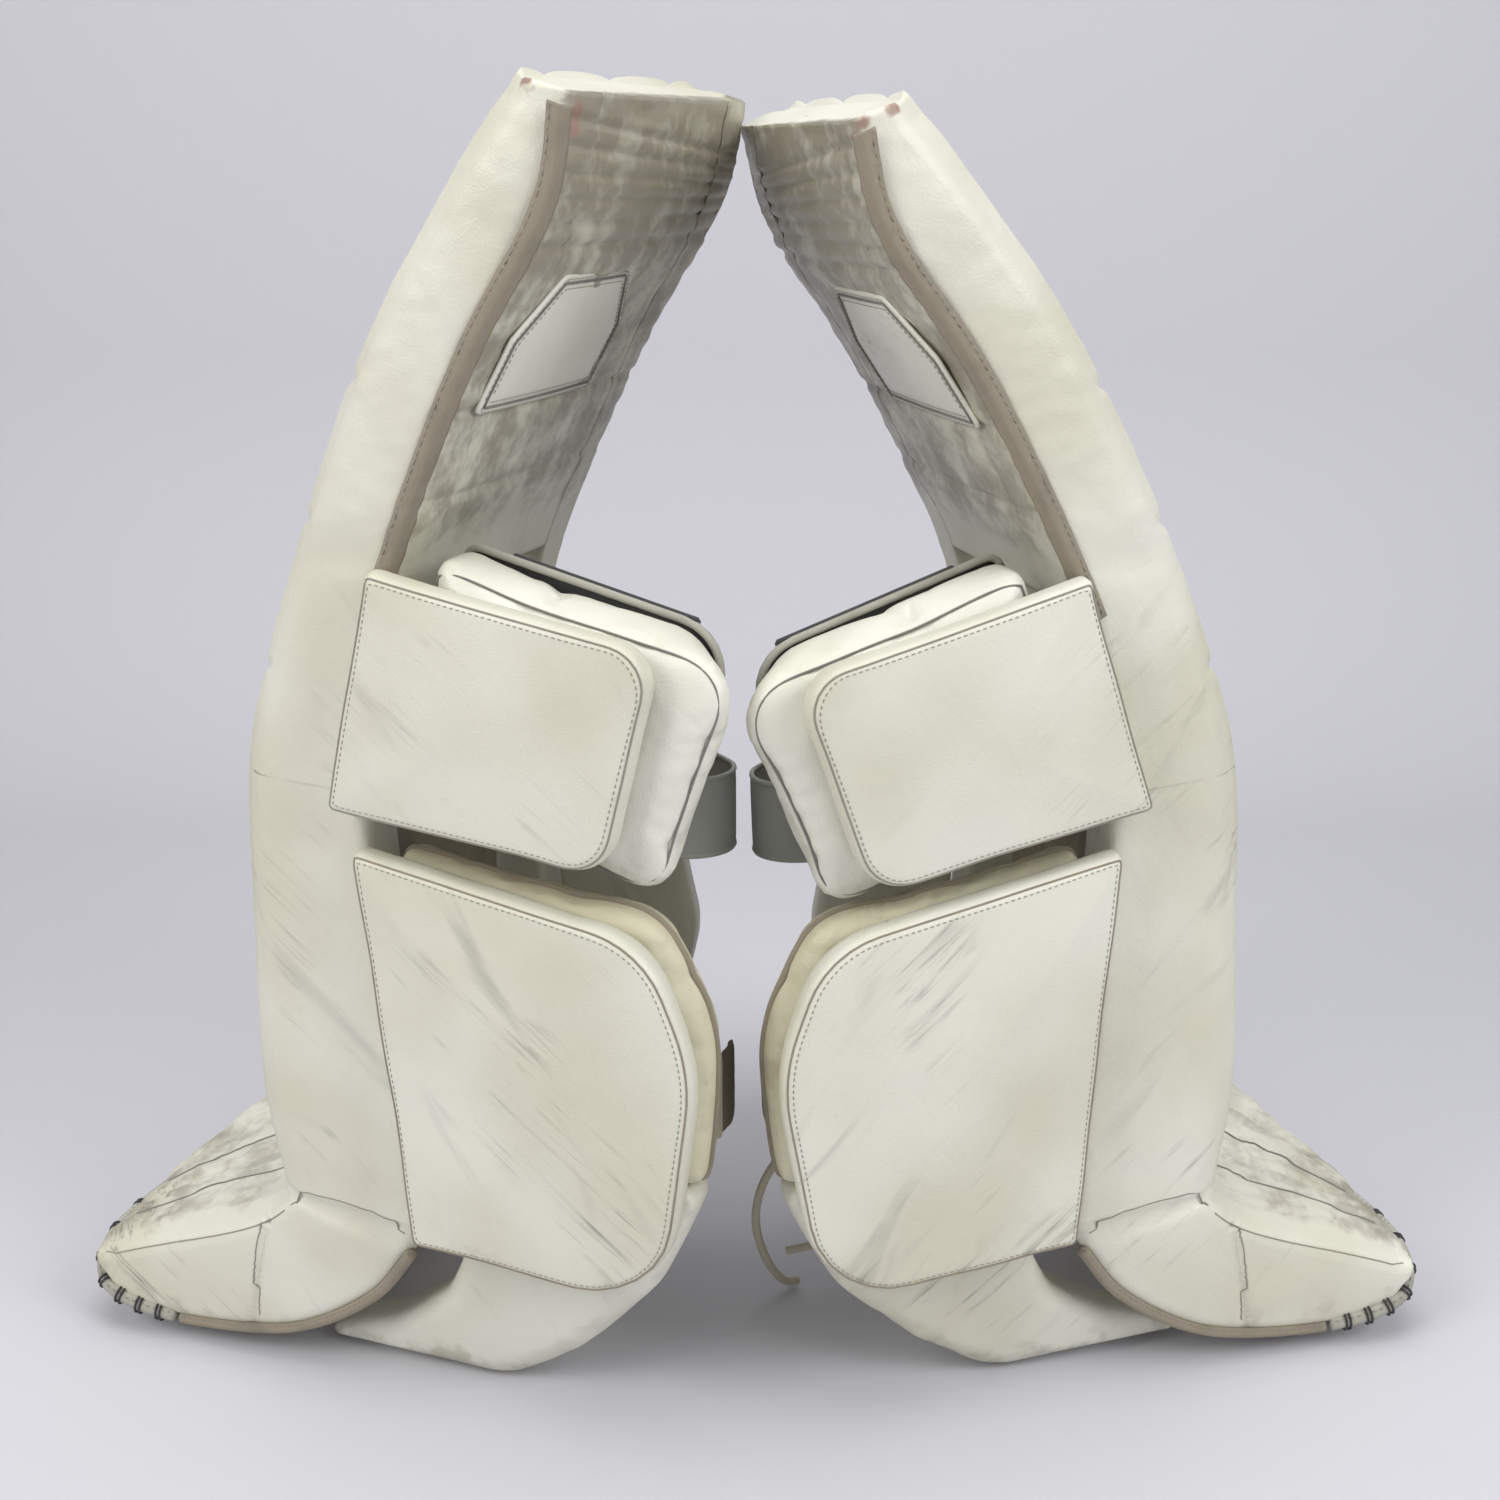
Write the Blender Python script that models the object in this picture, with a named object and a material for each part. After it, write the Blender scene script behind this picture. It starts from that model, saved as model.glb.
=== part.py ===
"""A pair of ice hockey goalie leg pads that stand on their toes and lean together at the top.

Each pad is modelled in its own frame, in metres: u runs forwards, from the leg to the pad's face,
w runs from the medial side (the inside of the knee) to the lateral side, and z runs up.
The right-leg pad stands on the -X side with its face towards -X. The left-leg pad mirrors it.
"""

import math

import bmesh
import bpy
from mathutils import Matrix, Vector

# ---- driving dimensions, in metres ----
PAD_WIDTH = 0.279  # 11 in, the widest pad that the rules allow
SKIN = 0.003  # leather, its backing and the seam behind it
CLEARANCE = 0.0004  # between a cover and the foam in it, and between faces that touch
PLATE = 0.060  # depth of the foam slab in front of the leg
MEDIAL_WALL = 0.040  # side walls of the leg channel
LATERAL_WALL = 0.036
FLAP_THICKNESS = 0.022
FLAP_EDGE = 0.006  # rounding of a flap's edge
BLOCK_THICKNESS = 0.056
BINDING_RADIUS = 0.009
LABEL_HALF = 0.080  # half the badge's width
LABEL_W = 0.112  # its centre across the pad

# Where each pad stands and how it slouches: its face turns away by yaw, its shin leans back on the
# boot, its thigh rise bends back at the knee, and its knee stack sags, all in degrees. The lateral
# side of the rise's top sits back by twist.
# block_cut shortens the knee block, and foot_lift keeps a leaning pad's calf foot off the floor.
STANCES = {
    "right": dict(mirror=-1, x=-0.1744, y=0.0184, yaw=19.0, lean=0.0, bend=0.0, twist=0.010, sag=0.0,
                  block_cut=0.0, foot_lift=0.0),
    "left": dict(mirror=1, x=0.1768, y=0.0264, yaw=14.4, lean=2.2, bend=2.0, twist=-0.004, sag=3.0,
                 block_cut=0.007, foot_lift=0.0042),
}

# Side view of the pad, as points (u, z) on its front line and its rear line, from top to bottom.
THIGH_FRONT = [(-0.088, 0.874), (-0.058, 0.836), (0.000, 0.750), (0.041, 0.670), (0.077, 0.582)]
THIGH_REAR = [(-0.124, 0.864), (-0.110, 0.800), (-0.062, 0.722), (-0.024, 0.645), (0.010, 0.563)]
SHIN_FRONT = [(0.076, 0.580), (0.101, 0.515), (0.119, 0.445), (0.124, 0.340), (0.126, 0.220), (0.114, 0.140)]
SHIN_REAR = [(0.013, 0.553), (0.024, 0.505), (0.030, 0.440), (0.024, 0.340), (0.012, 0.220), (0.007, 0.130)]
BOOT_TOP = [(0.1145, 0.1375), (0.138, 0.120), (0.170, 0.107), (0.220, 0.090), (0.262, 0.074), (0.277, 0.064)]
BOOT_SOLE = [(0.014, 0.114), (0.050, 0.069), (0.115, 0.031), (0.200, 0.0190), (0.252, 0.025), (0.270, 0.043)]
# Across the boot, at the same six places: the width, the plate's depth, and how far the lateral
# side flares forwards and up around the skate.
BOOT_WIDTH = [0.278, 0.274, 0.262, 0.200, 0.130, 0.105]
BOOT_PLATE = [0.050, 0.040, 0.034, 0.028, 0.022, 0.010]
BOOT_FLARE_U = [0.020, 0.045, 0.040, 0.010, 0.0, 0.0]
BOOT_FLARE_Z = [0.0, 0.012, 0.026, 0.030, 0.018, 0.008]
BOOT_WALL = 0.018
CRADLE = 0.014  # the lining of the leg channel
SHIN_RINGS = 8
SHIN_FLARE = 0.020  # the shin's lateral corner reaches this far forwards at the ankle
ANKLE = (0.114, 0.140)
KNEE_BREAK = (0.078, 0.5815)
LEAN_AXIS = (0.060, 0.130)

# Outlines of the flaps and cushions, as corners (u, z) with their radii.
KNEE_FLAP = ([(0.009, 0.589), (-0.181, 0.552), (-0.143, 0.409), (0.046, 0.434)], [0.002, 0.028, 0.030, 0.002])
KNEE_BLOCK = ([(-0.020, 0.595), (-0.225, 0.541), (-0.172, 0.384), (0.018, 0.438)], [0.010, 0.034, 0.026, 0.006])
CALF_FLAP = (
    [(0.030, 0.408), (-0.170, 0.370), (-0.203, 0.288), (-0.178, 0.117), (0.001, 0.131)],
    [0.002, 0.050, 0.120, 0.046, 0.003],
)
CALF_WEDGE = (
    [(0.016, 0.403), (-0.168, 0.376), (-0.203, 0.300), (-0.197, 0.192), (-0.002, 0.192)],
    [0.008, 0.046, 0.080, 0.008, 0.006],
)
CALF_FOOT = (
    [(-0.006, 0.189), (-0.197, 0.189), (-0.152, 0.098), (-0.096, 0.038), (-0.040, 0.0),
     (0.104, 0.0), (0.105, 0.011), (0.052, 0.034), (0.006, 0.072), (-0.014, 0.112)],
    [0.004, 0.010, 0.044, 0.060, 0.060, 0.004, 0.004, 0.020, 0.018, 0.010],
)
FOOT_TILT = 0.15  # the foot slants away from the medial side towards the floor
OUTER_KNEE = ([(0.012, 0.512), (-0.074, 0.500), (-0.070, 0.420), (0.026, 0.424)], [0.004, 0.026, 0.026, 0.004])
OUTER_CALF = ([(0.022, 0.402), (-0.070, 0.392), (-0.098, 0.270), (-0.070, 0.136), (0.004, 0.136)],
              [0.004, 0.030, 0.060, 0.034, 0.004])

# Hinge lines, each as two points (u, w, z), from low to high.
FLAP_HINGE_W = -0.002
HINGES = {
    "boot_flex": ((ANKLE[0], 0.0, ANKLE[1]), (ANKLE[0], 0.100, ANKLE[1])),
    "thigh_flex": ((KNEE_BREAK[0], 0.0, KNEE_BREAK[1]), (KNEE_BREAK[0], 0.100, KNEE_BREAK[1])),
    "knee_stack_swing": ((0.047, FLAP_HINGE_W, 0.434), (0.010, FLAP_HINGE_W, 0.589)),
    "knee_flap_swing": ((0.047, FLAP_HINGE_W, 0.434), (0.010, FLAP_HINGE_W, 0.589)),
    "calf_wedge_swing": ((0.002, FLAP_HINGE_W, 0.131), (0.031, FLAP_HINGE_W, 0.411)),
    "calf_flap_swing": ((0.002, FLAP_HINGE_W, 0.131), (0.031, FLAP_HINGE_W, 0.411)),
    "outer_knee_swing": ((0.028, PAD_WIDTH, 0.424), (0.014, PAD_WIDTH, 0.512)),
    "outer_calf_swing": ((0.006, PAD_WIDTH, 0.136), (0.024, PAD_WIDTH, 0.402)),
    "calf_tab_swing": ((-0.182, 0.082, 0.192), (-0.182, 0.082, 0.256)),
}

MATERIALS = {
    "white_leather": ((0.86, 0.86, 0.80), 0.45),
    "cream_leather": ((0.80, 0.77, 0.62), 0.55),
    "tan_binding": ((0.62, 0.55, 0.42), 0.75),
    "black_lining": ((0.03, 0.03, 0.035), 0.85),
    "foam": ((0.75, 0.75, 0.72), 0.95),
    "grey_elastic": ((0.50, 0.50, 0.45), 0.85),
    "lace": ((0.68, 0.65, 0.55), 0.80),
}


# ---- geometry helpers ----
def clear_scene():
    for obj in list(bpy.data.objects):
        bpy.data.objects.remove(obj)


def material(name):
    found = bpy.data.materials.get(name)
    if found is None:
        colour, roughness = MATERIALS[name]
        found = bpy.data.materials.new(name)
        found.use_nodes = True
        shader = found.node_tree.nodes["Principled BSDF"]
        shader.inputs["Base Color"].default_value = (*colour, 1.0)
        shader.inputs["Roughness"].default_value = roughness
        shader.inputs["Metallic"].default_value = 0.0
    return found


def smooth_line(points, count):
    """Points spread evenly by index along a smooth curve through the given ones."""
    ends = [tuple(2 * a - b for a, b in zip(points[0], points[1]))]
    tail = [tuple(2 * a - b for a, b in zip(points[-1], points[-2]))]
    known = [Vector(p) for p in ends + list(points) + tail]
    found = []
    for i in range(count):
        place = i * (len(points) - 1) / (count - 1)
        k = min(int(place), len(points) - 2)
        t = place - k
        a, b, c, d = known[k : k + 4]
        found.append(
            0.5 * ((2 * b) + (c - a) * t + (2 * a - 5 * b + 4 * c - d) * t**2 + (3 * b - a - 3 * c + d) * t**3)
        )
    return found


def smooth_values(values, count):
    return [p[0] for p in smooth_line([(v, 0.0) for v in values], count)]


def rounded_outline(corners, radii, inset=0.0, steps=3):
    """A closed 2-D outline with an arc at each corner, moved inwards by inset."""
    points = [Vector(c) for c in corners]
    area = sum(a.x * b.y - b.x * a.y for a, b in zip(points, points[1:] + points[:1]))
    side = 1 if area > 0 else -1
    found = []
    for i, corner in enumerate(points):
        before = (corner - points[i - 1]).normalized()
        after = (points[(i + 1) % len(points)] - corner).normalized()
        turn = before.x * after.y - before.y * after.x
        angle = math.atan2(turn, before.dot(after))
        inward = side * Vector((-before.y - after.y, before.x + after.x))
        moved = corner + inward / (1 + before.dot(after)) * inset
        convex = angle * side > 0
        radius = max(radii[i] - inset, 0.0008) if convex else radii[i] + inset
        reach = radius * abs(math.tan(angle / 2))
        start = moved - before * reach
        normal = Vector((-before.y, before.x)) * (1 if angle > 0 else -1)
        centre = start + normal * radius
        for k in range(steps + 1):
            part = angle * k / steps
            found.append(centre + Matrix.Rotation(part, 2) @ (start - centre))
    return found


def joined_rings(bm, rings, closed_ends=(True, True)):
    """Quads between rings of the same length, and a cap on each end that is asked for."""
    made = [[bm.verts.new(p) for p in ring] for ring in rings]
    for low, high in zip(made, made[1:]):
        for i in range(len(low)):
            j = (i + 1) % len(low)
            bm.faces.new((low[i], low[j], high[j], high[i]))
    if closed_ends[0]:
        bm.faces.new(made[0])
    if closed_ends[1]:
        bm.faces.new(made[-1])
    return made


def ring_between(bm, outer, inner):
    for i in range(len(outer)):
        j = (i + 1) % len(outer)
        bm.faces.new((outer[i], outer[j], inner[j], inner[i]))


class Pad:
    """One pad: it turns points (u, w, z) into objects that hang from the pad's empties."""

    def __init__(self, leg, stance):
        self.leg = leg
        self.mirror = stance["mirror"]
        self.stance = stance
        yaw = math.radians(stance["yaw"])
        self.base = bpy.data.objects.new(f"{leg}_pad_base", None)
        self.base.location = (stance["x"], stance["y"], 0.0)
        self.base.rotation_euler = (0, 0, yaw if self.mirror > 0 else math.pi - yaw)
        bpy.context.collection.objects.link(self.base)
        self.upper = self.empty("upper", self.base, Vector((0, 0, 0)), self.local((LEAN_AXIS[0], 0, LEAN_AXIS[1])))
        self.upper.rotation_euler = (0, -math.radians(stance["lean"]), 0)
        self.pivots = {"shin": (self.upper, self.local((LEAN_AXIS[0], 0, LEAN_AXIS[1])))}

    def local(self, point):
        u, w, z = point
        return Vector((u, self.mirror * (w - PAD_WIDTH / 2), z))

    def empty(self, name, parent, parent_at, at):
        made = bpy.data.objects.new(f"{self.leg}_{name}", None)
        made.location = at - parent_at
        made.parent = parent
        bpy.context.collection.objects.link(made)
        return made

    def hinge(self, body, joint, parent="shin", rest=0.0):
        """An empty on the joint's axis, for the pieces of that body, turned by rest in the side plane."""
        low, high = (self.local(p) for p in HINGES[joint])
        at = (low + high) / 2
        holder, holder_at = self.pivots[parent]
        if body == "boot":
            holder, holder_at = self.base, Vector((0, 0, 0))
        pivot = self.empty(joint, holder, holder_at, at)
        pivot.rotation_euler = (0, -math.radians(rest), 0)
        self.pivots[body] = (pivot, at)

    def finish(self, name, bm, body, slot, smooth_angle=40):
        """The mesh as a named object, with its origin on its body's empty."""
        holder, at = self.pivots[body]
        bmesh.ops.recalc_face_normals(bm, faces=bm.faces)
        for vertex in bm.verts:
            vertex.co -= at
        mesh = bpy.data.meshes.new(name)
        bm.to_mesh(mesh)
        bm.free()
        mesh.shade_smooth()
        mesh.set_sharp_from_angle(angle=math.radians(smooth_angle))
        mesh.materials.append(material(slot))
        made = bpy.data.objects.new(f"{self.leg}_{name}", mesh)
        made.parent = holder
        bpy.context.collection.objects.link(made)
        return made

    def loft(self, name, rings, body, slot):
        bm = bmesh.new()
        joined_rings(bm, [[self.local(p) for p in ring] for ring in rings])
        return self.finish(name, bm, body, slot)

    def sleeve(self, name, outer, inner, body, slot, closed_start=False, closed_end=False):
        """A shell between two lofts, open at the ends that aren't closed."""
        bm = bmesh.new()
        out = joined_rings(bm, [[self.local(p) for p in r] for r in outer], (closed_start, closed_end))
        into = joined_rings(bm, [[self.local(p) for p in r] for r in inner], (closed_start, closed_end))
        if not closed_start:
            ring_between(bm, out[0], into[0])
        if not closed_end:
            ring_between(bm, out[-1], into[-1])
        return self.finish(name, bm, body, slot)

    def slab(self, name, outline, w_low, w_high, body, slot, edge=FLAP_EDGE, inset=0.0, far_outline=None,
             tilt=0.0):
        """A cushion in the side plane: its outline between w_low and w_high, with rounded edges.
        A tilted one slants to larger w by tilt times its depth below its top."""
        top = max(corner[1] for corner in outline[0])
        rings = []
        far = far_outline or outline
        for w, grow in ((w_low, edge), (w_low + edge, 0), (w_high - edge, 0), (w_high, edge)):
            corners, radii = outline if w < (w_low + w_high) / 2 else far
            flat = rounded_outline(corners, radii, inset + grow)
            rings.append([(p.x, w + tilt * (top - p.y), p.y) for p in flat])
        return self.loft(name, rings, body, slot)

    def bag(self, name, outline, w_low, w_high, body, slot, mouth, edge=FLAP_EDGE, far_outline=None):
        """A cover and its core: the cover is open along its hinge edge, where the core goes in."""
        cover = self.slab(f"{name}_cover", outline, w_low, w_high, body, slot, edge, 0.0, far_outline)
        inner = SKIN + CLEARANCE
        core = self.slab(f"{name}_core", outline, w_low + inner, w_high - inner, body, "foam",
                         edge, inner, far_outline)
        cavity = [self.opened(o, mouth) for o in (outline, far_outline or outline)]
        cutter = self.slab(f"{name}_cavity", cavity[0], w_low + SKIN, w_high - SKIN, body, "foam",
                           edge, SKIN, cavity[1])
        cutter.hide_render = True
        cutter.display_type = "WIRE"
        cut = cover.modifiers.new("cavity", "BOOLEAN")
        cut.operation = "DIFFERENCE"
        cut.object = cutter
        return cover, core

    @staticmethod
    def opened(outline, mouth):
        """The outline with its hinge edge, from its last corner to its first, moved outwards."""
        corners, radii = outline
        points = [Vector(c) for c in corners]
        first = points[0] + (points[0] - points[1]).normalized() * mouth
        last = points[-1] + (points[-1] - points[-2]).normalized() * mouth
        return [first] + points[1:-1] + [last], radii

    def strip(self, name, path, across, thickness, body, slot):
        """A flat strap: a line of points (u, w, z), its width as a vector across it, and its thickness."""
        line = [Vector(p) for p in path]
        half = Vector(across) / 2
        rings = []
        for i, point in enumerate(line):
            along = (line[min(i + 1, len(line) - 1)] - line[max(i - 1, 0)]).normalized()
            out = along.cross(half).normalized() * thickness / 2
            rings.append([point - half - out, point + half - out, point + half + out, point - half + out])
        return self.loft(name, rings, body, slot)

    def tube(self, name, path, radius, body, slot, sides=6):
        """A round binding or cord along a line of points (u, w, z)."""
        line = [Vector(p) for p in path]
        rings = []
        upright = None
        for i, point in enumerate(line):
            along = (line[min(i + 1, len(line) - 1)] - line[max(i - 1, 0)]).normalized()
            if upright is None:
                upright = along.orthogonal().normalized()
            upright = (upright - along * upright.dot(along)).normalized()
            other = along.cross(upright)
            turns = [2 * math.pi * k / sides for k in range(sides)]
            rings.append([point + radius * (math.cos(t) * upright + math.sin(t) * other) for t in turns])
        return self.loft(name, rings, body, slot)


# ---- the pieces ----
def section(front, rear, flat, flare=(0.0, 0.0), twist=0.0, width=PAD_WIDTH):
    """A flat outline (depth, w) laid on the line from front to rear. Its lateral side moves back by
    twist, and the face's lateral corner moves out by flare."""
    front, rear = Vector(front), Vector(rear)
    along = (rear - front).normalized()
    depth = (rear - front).length
    ring = []
    for p in flat:
        lateral = max(0.0, min(1.0, p.y / width)) ** 2
        out = lateral * max(0.0, 1 - p.x / depth)
        at = front + along * p.x
        ring.append((at.x + flare[0] * out - twist * lateral, p.y, at.y + flare[1] * out))
    return ring


def slab_section(depth, w_low, w_high, inset):
    corners = [(0, w_low), (0, w_high), (depth, w_high), (depth, w_low)]
    return rounded_outline(corners, [min(0.018, 0.4 * depth)] * 2 + [0.010, 0.014], inset, 2)


def channel_section(depth, w_low, w_high, plate, medial, lateral, inset):
    """The C of the leg channel: a plate in front of the leg with a wall down each side of it."""
    corners = [
        (0, w_low), (0, w_high), (depth, w_high), (depth, w_high - lateral),
        (plate, w_high - lateral), (plate, w_low + medial), (depth, w_low + medial), (depth, w_low),
    ]
    small = min(1.0, (depth - plate) / 0.020)
    radii = [min(0.018, 0.4 * depth)] * 2 + [r * small for r in (0.006, 0.006, 0.010, 0.010, 0.006, 0.006)]
    return rounded_outline(corners, radii, inset, 2)


def thigh_rings(twist, inset, count=7, start=0.0):
    fronts = smooth_line(THIGH_FRONT, count)
    rears = smooth_line(THIGH_REAR, count)
    fronts[0] = fronts[0].lerp(fronts[1], start / (fronts[1] - fronts[0]).length)
    rears[0] = rears[0].lerp(rears[1], start / (rears[1] - rears[0]).length)
    rings = []
    for i, (front, rear) in enumerate(zip(fronts, rears)):
        up = 1 - i / (count - 1)
        narrow = 0.006 * up**2
        flat = slab_section((rear - front).length, narrow, PAD_WIDTH - narrow, inset)
        rings.append(section(front, rear, flat, twist=twist * up))
    return rings


def shin_rings(inset, count=SHIN_RINGS):
    fronts = smooth_line(SHIN_FRONT, count)
    rears = smooth_line(SHIN_REAR, count)
    rings = []
    for i, (front, rear) in enumerate(zip(fronts, rears)):
        flare = SHIN_FLARE * max(0.0, (i / (count - 1) - 0.6) / 0.4) ** 2
        depth = (rear - front).length
        plate = min(PLATE, depth - 0.012) - 0.010 * (i == count - 1)
        flat = channel_section(depth, 0.0, PAD_WIDTH, plate, MEDIAL_WALL, LATERAL_WALL, inset)
        rings.append(section(front, rear, flat, (flare, 0.0)))
    return rings


def boot_rings(inset, count=9, end=0.0):
    fronts = smooth_line(BOOT_TOP, count)
    rears = smooth_line(BOOT_SOLE, count)
    for line in (fronts, rears):
        line[-1] = line[-1].lerp(line[-2], end / (line[-1] - line[-2]).length)
    widths, plates, flares_u, flares_z = (
        smooth_values(v, count) for v in (BOOT_WIDTH, BOOT_PLATE, BOOT_FLARE_U, BOOT_FLARE_Z)
    )
    rings = []
    for i, (front, rear) in enumerate(zip(fronts, rears)):
        depth = (rear - front).length
        plate = min(plates[i], depth - 0.009)
        flat = channel_section(depth, 0.0, widths[i], plate, BOOT_WALL, BOOT_WALL, inset)
        rings.append(section(front, rear, flat, (flares_u[i], flares_z[i]), width=widths[i]))
    return rings


def build_thigh(pad):
    pad.hinge("thigh", "thigh_flex", rest=pad.stance["bend"])
    twist, inner = pad.stance["twist"], SKIN + CLEARANCE
    pad.sleeve("thigh_cover", thigh_rings(twist, 0), thigh_rings(twist, SKIN, start=SKIN), "thigh",
               "white_leather", closed_start=True)
    pad.loft("thigh_core", thigh_rings(twist, inner, start=inner), "thigh", "foam")
    edge = [(p.x - 0.001, -0.0005, p.y) for p in smooth_line(THIGH_REAR, 13)[:-2]]
    pad.tube("thigh_binding", edge, BINDING_RADIUS - 0.003, "thigh", "tan_binding")
    build_label(pad)


def build_label(pad):
    """The blank badge that is sewn on the back of the thigh rise: a hexagonal patch."""
    line = smooth_line(THIGH_REAR, 25)
    low, high = line[15], line[9]
    up = (high - low).normalized()
    back = Vector((-up.y, up.x))
    length = (high - low).length
    corners = [(-LABEL_HALF, 0), (LABEL_HALF, 0), (LABEL_HALF, 0.55 * length), (LABEL_HALF * 0.6, length),
               (-LABEL_HALF * 0.6, length), (-LABEL_HALF, 0.55 * length)]
    rings = []
    for lift in (0.0055, 0.0080):
        ring = [(low + up * p.y + back * lift, LABEL_W + p.x) for p in rounded_outline(corners, [0.006] * 6, 0.0, 1)]
        rings.append([(at.x, w, at.y) for at, w in ring])
    pad.loft("thigh_label", rings, "thigh", "white_leather")


def build_cradle(pad, name, slot, stations):
    """The soft lining on the floor of the leg channel, over some of the shin's rings."""
    fronts, rears = smooth_line(SHIN_FRONT, SHIN_RINGS), smooth_line(SHIN_REAR, SHIN_RINGS)
    w_low, w_high = MEDIAL_WALL + 0.012, PAD_WIDTH - LATERAL_WALL - 0.012
    rings = []
    for station in stations:
        k = min(int(station), SHIN_RINGS - 2)
        front = fronts[k].lerp(fronts[k + 1], station - k)
        rear = rears[k].lerp(rears[k + 1], station - k)
        depth = PLATE + 0.001
        corners = [(depth, w_low), (depth, w_high), (depth + CRADLE, w_high), (depth + CRADLE, w_low)]
        rings.append(section(front, rear, rounded_outline(corners, [0.002, 0.002, 0.010, 0.010], 0.0, 2)))
    pad.loft(name, rings, "shin", slot)


def build_shin(pad):
    pad.sleeve("shin_cover", shin_rings(0), shin_rings(SKIN), "shin", "white_leather")
    pad.loft("shin_core", shin_rings(SKIN + CLEARANCE), "shin", "foam")
    build_cradle(pad, "knee_cradle", "black_lining", (0.5, 1, 2, 2.5))
    build_cradle(pad, "calf_cradle", "tan_binding", (3, 4, 5, 5.8))
    low, high = 0.060, 0.215
    path = [(0.030 - 0.055 * math.sin(math.pi * k / 8), low + (high - low) * k / 8, 0.165) for k in range(9)]
    pad.strip("boot_strap", path, (0, 0, 0.026), 0.003, "shin", "cream_leather")


def build_boot(pad):
    pad.hinge("boot", "boot_flex")
    pad.sleeve("boot_cover", boot_rings(0), boot_rings(SKIN, end=SKIN), "boot", "white_leather", closed_end=True)
    pad.loft("boot_core", boot_rings(SKIN + CLEARANCE)[:-1], "boot", "foam")
    sole = edge_line(smooth_line(BOOT_SOLE, 17), BINDING_RADIUS + 0.0008)
    heel = [(p.x, BINDING_RADIUS, p.y) for p in sole[1:11]]
    pad.tube("boot_binding", heel, BINDING_RADIUS, "boot", "tan_binding")
    widths = smooth_values(BOOT_WIDTH, 17)
    outer = [(p.x, widths[i] - BINDING_RADIUS, p.y) for i, p in enumerate(sole)]
    pad.tube("boot_outer_binding", outer[2:13], BINDING_RADIUS, "boot", "tan_binding")
    toe = [(p.x, BINDING_RADIUS, p.y) for p in sole[11:15]]
    toe[0] = (toe[0][0] + 0.002, *toe[0][1:])
    toe += [(0.2815, 0.014, 0.031), (0.2885, 0.032, 0.046), (0.2890, 0.060, 0.054), (0.2850, 0.098, 0.059)]
    pad.tube("toe_binding", smooth_line(toe, 15), BINDING_RADIUS - 0.0005, "boot", "white_leather")
    loop = [(0.224 - 0.030 * math.sin(t), 0.062 + 0.020 * math.cos(t), 0.040 - 0.012 * math.sin(t))
            for t in (math.pi * k / 8 for k in range(9))]
    pad.tube("toe_tie", loop, 0.003, "boot", "black_lining")


def edge_line(line, stand_off):
    """The line moved out from the pad by stand_off, and kept on the floor or above it."""
    found = []
    for i, point in enumerate(line):
        along = (line[min(i + 1, len(line) - 1)] - line[max(i - 1, 0)]).normalized()
        moved = point + Vector((along.y, -along.x)) * stand_off
        moved.y = max(moved.y, stand_off)
        found.append(moved)
    return found


def block_outline(pad, rear_cut):
    """The knee block's outline with its rear end brought forwards along its edges."""
    corners, radii = KNEE_BLOCK
    top_front, top_rear, low_rear, low_front = (Vector(c) for c in corners)
    cut = rear_cut + pad.stance["block_cut"]
    top_rear += (top_front - top_rear).normalized() * cut
    low_rear += (low_front - low_rear).normalized() * cut
    return [top_front, top_rear, low_rear, low_front], radii


def build_knee(pad):
    pad.hinge("knee_stack", "knee_stack_swing", rest=pad.stance["sag"])
    pad.hinge("knee_flap", "knee_flap_swing", parent="knee_stack")
    near = 0.004
    far = near + BLOCK_THICKNESS
    near_outline, far_outline = block_outline(pad, 0.0), block_outline(pad, 0.024)
    pad.bag("knee_block", near_outline, near, far, "knee_stack", "white_leather", 0.030, 0.004, far_outline)
    pad.slab("knee_block_liner", far_outline, far + CLEARANCE, far + 0.005, "knee_stack", "black_lining",
             0.0015, -0.0015)
    band = [(-0.070, 0.069, 0.422), (-0.120, 0.071, 0.420), (-0.160, 0.080, 0.418), (-0.177, 0.104, 0.416),
            (-0.170, 0.140, 0.412), (-0.140, 0.175, 0.408), (-0.105, 0.200, 0.406)]
    pad.strip("knee_strap", smooth_line(band, 13), (0, 0, 0.056), 0.0025, "shin", "grey_elastic")
    pad.bag("knee_flap", KNEE_FLAP, FLAP_HINGE_W - FLAP_THICKNESS, FLAP_HINGE_W, "knee_flap", "white_leather", 0.020)


def lifted(outline, lift):
    """The outline with the corners that rest on the floor raised."""
    corners, radii = outline
    return [(u, z + lift) if z < 0.060 else (u, z) for u, z in corners], radii


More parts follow.
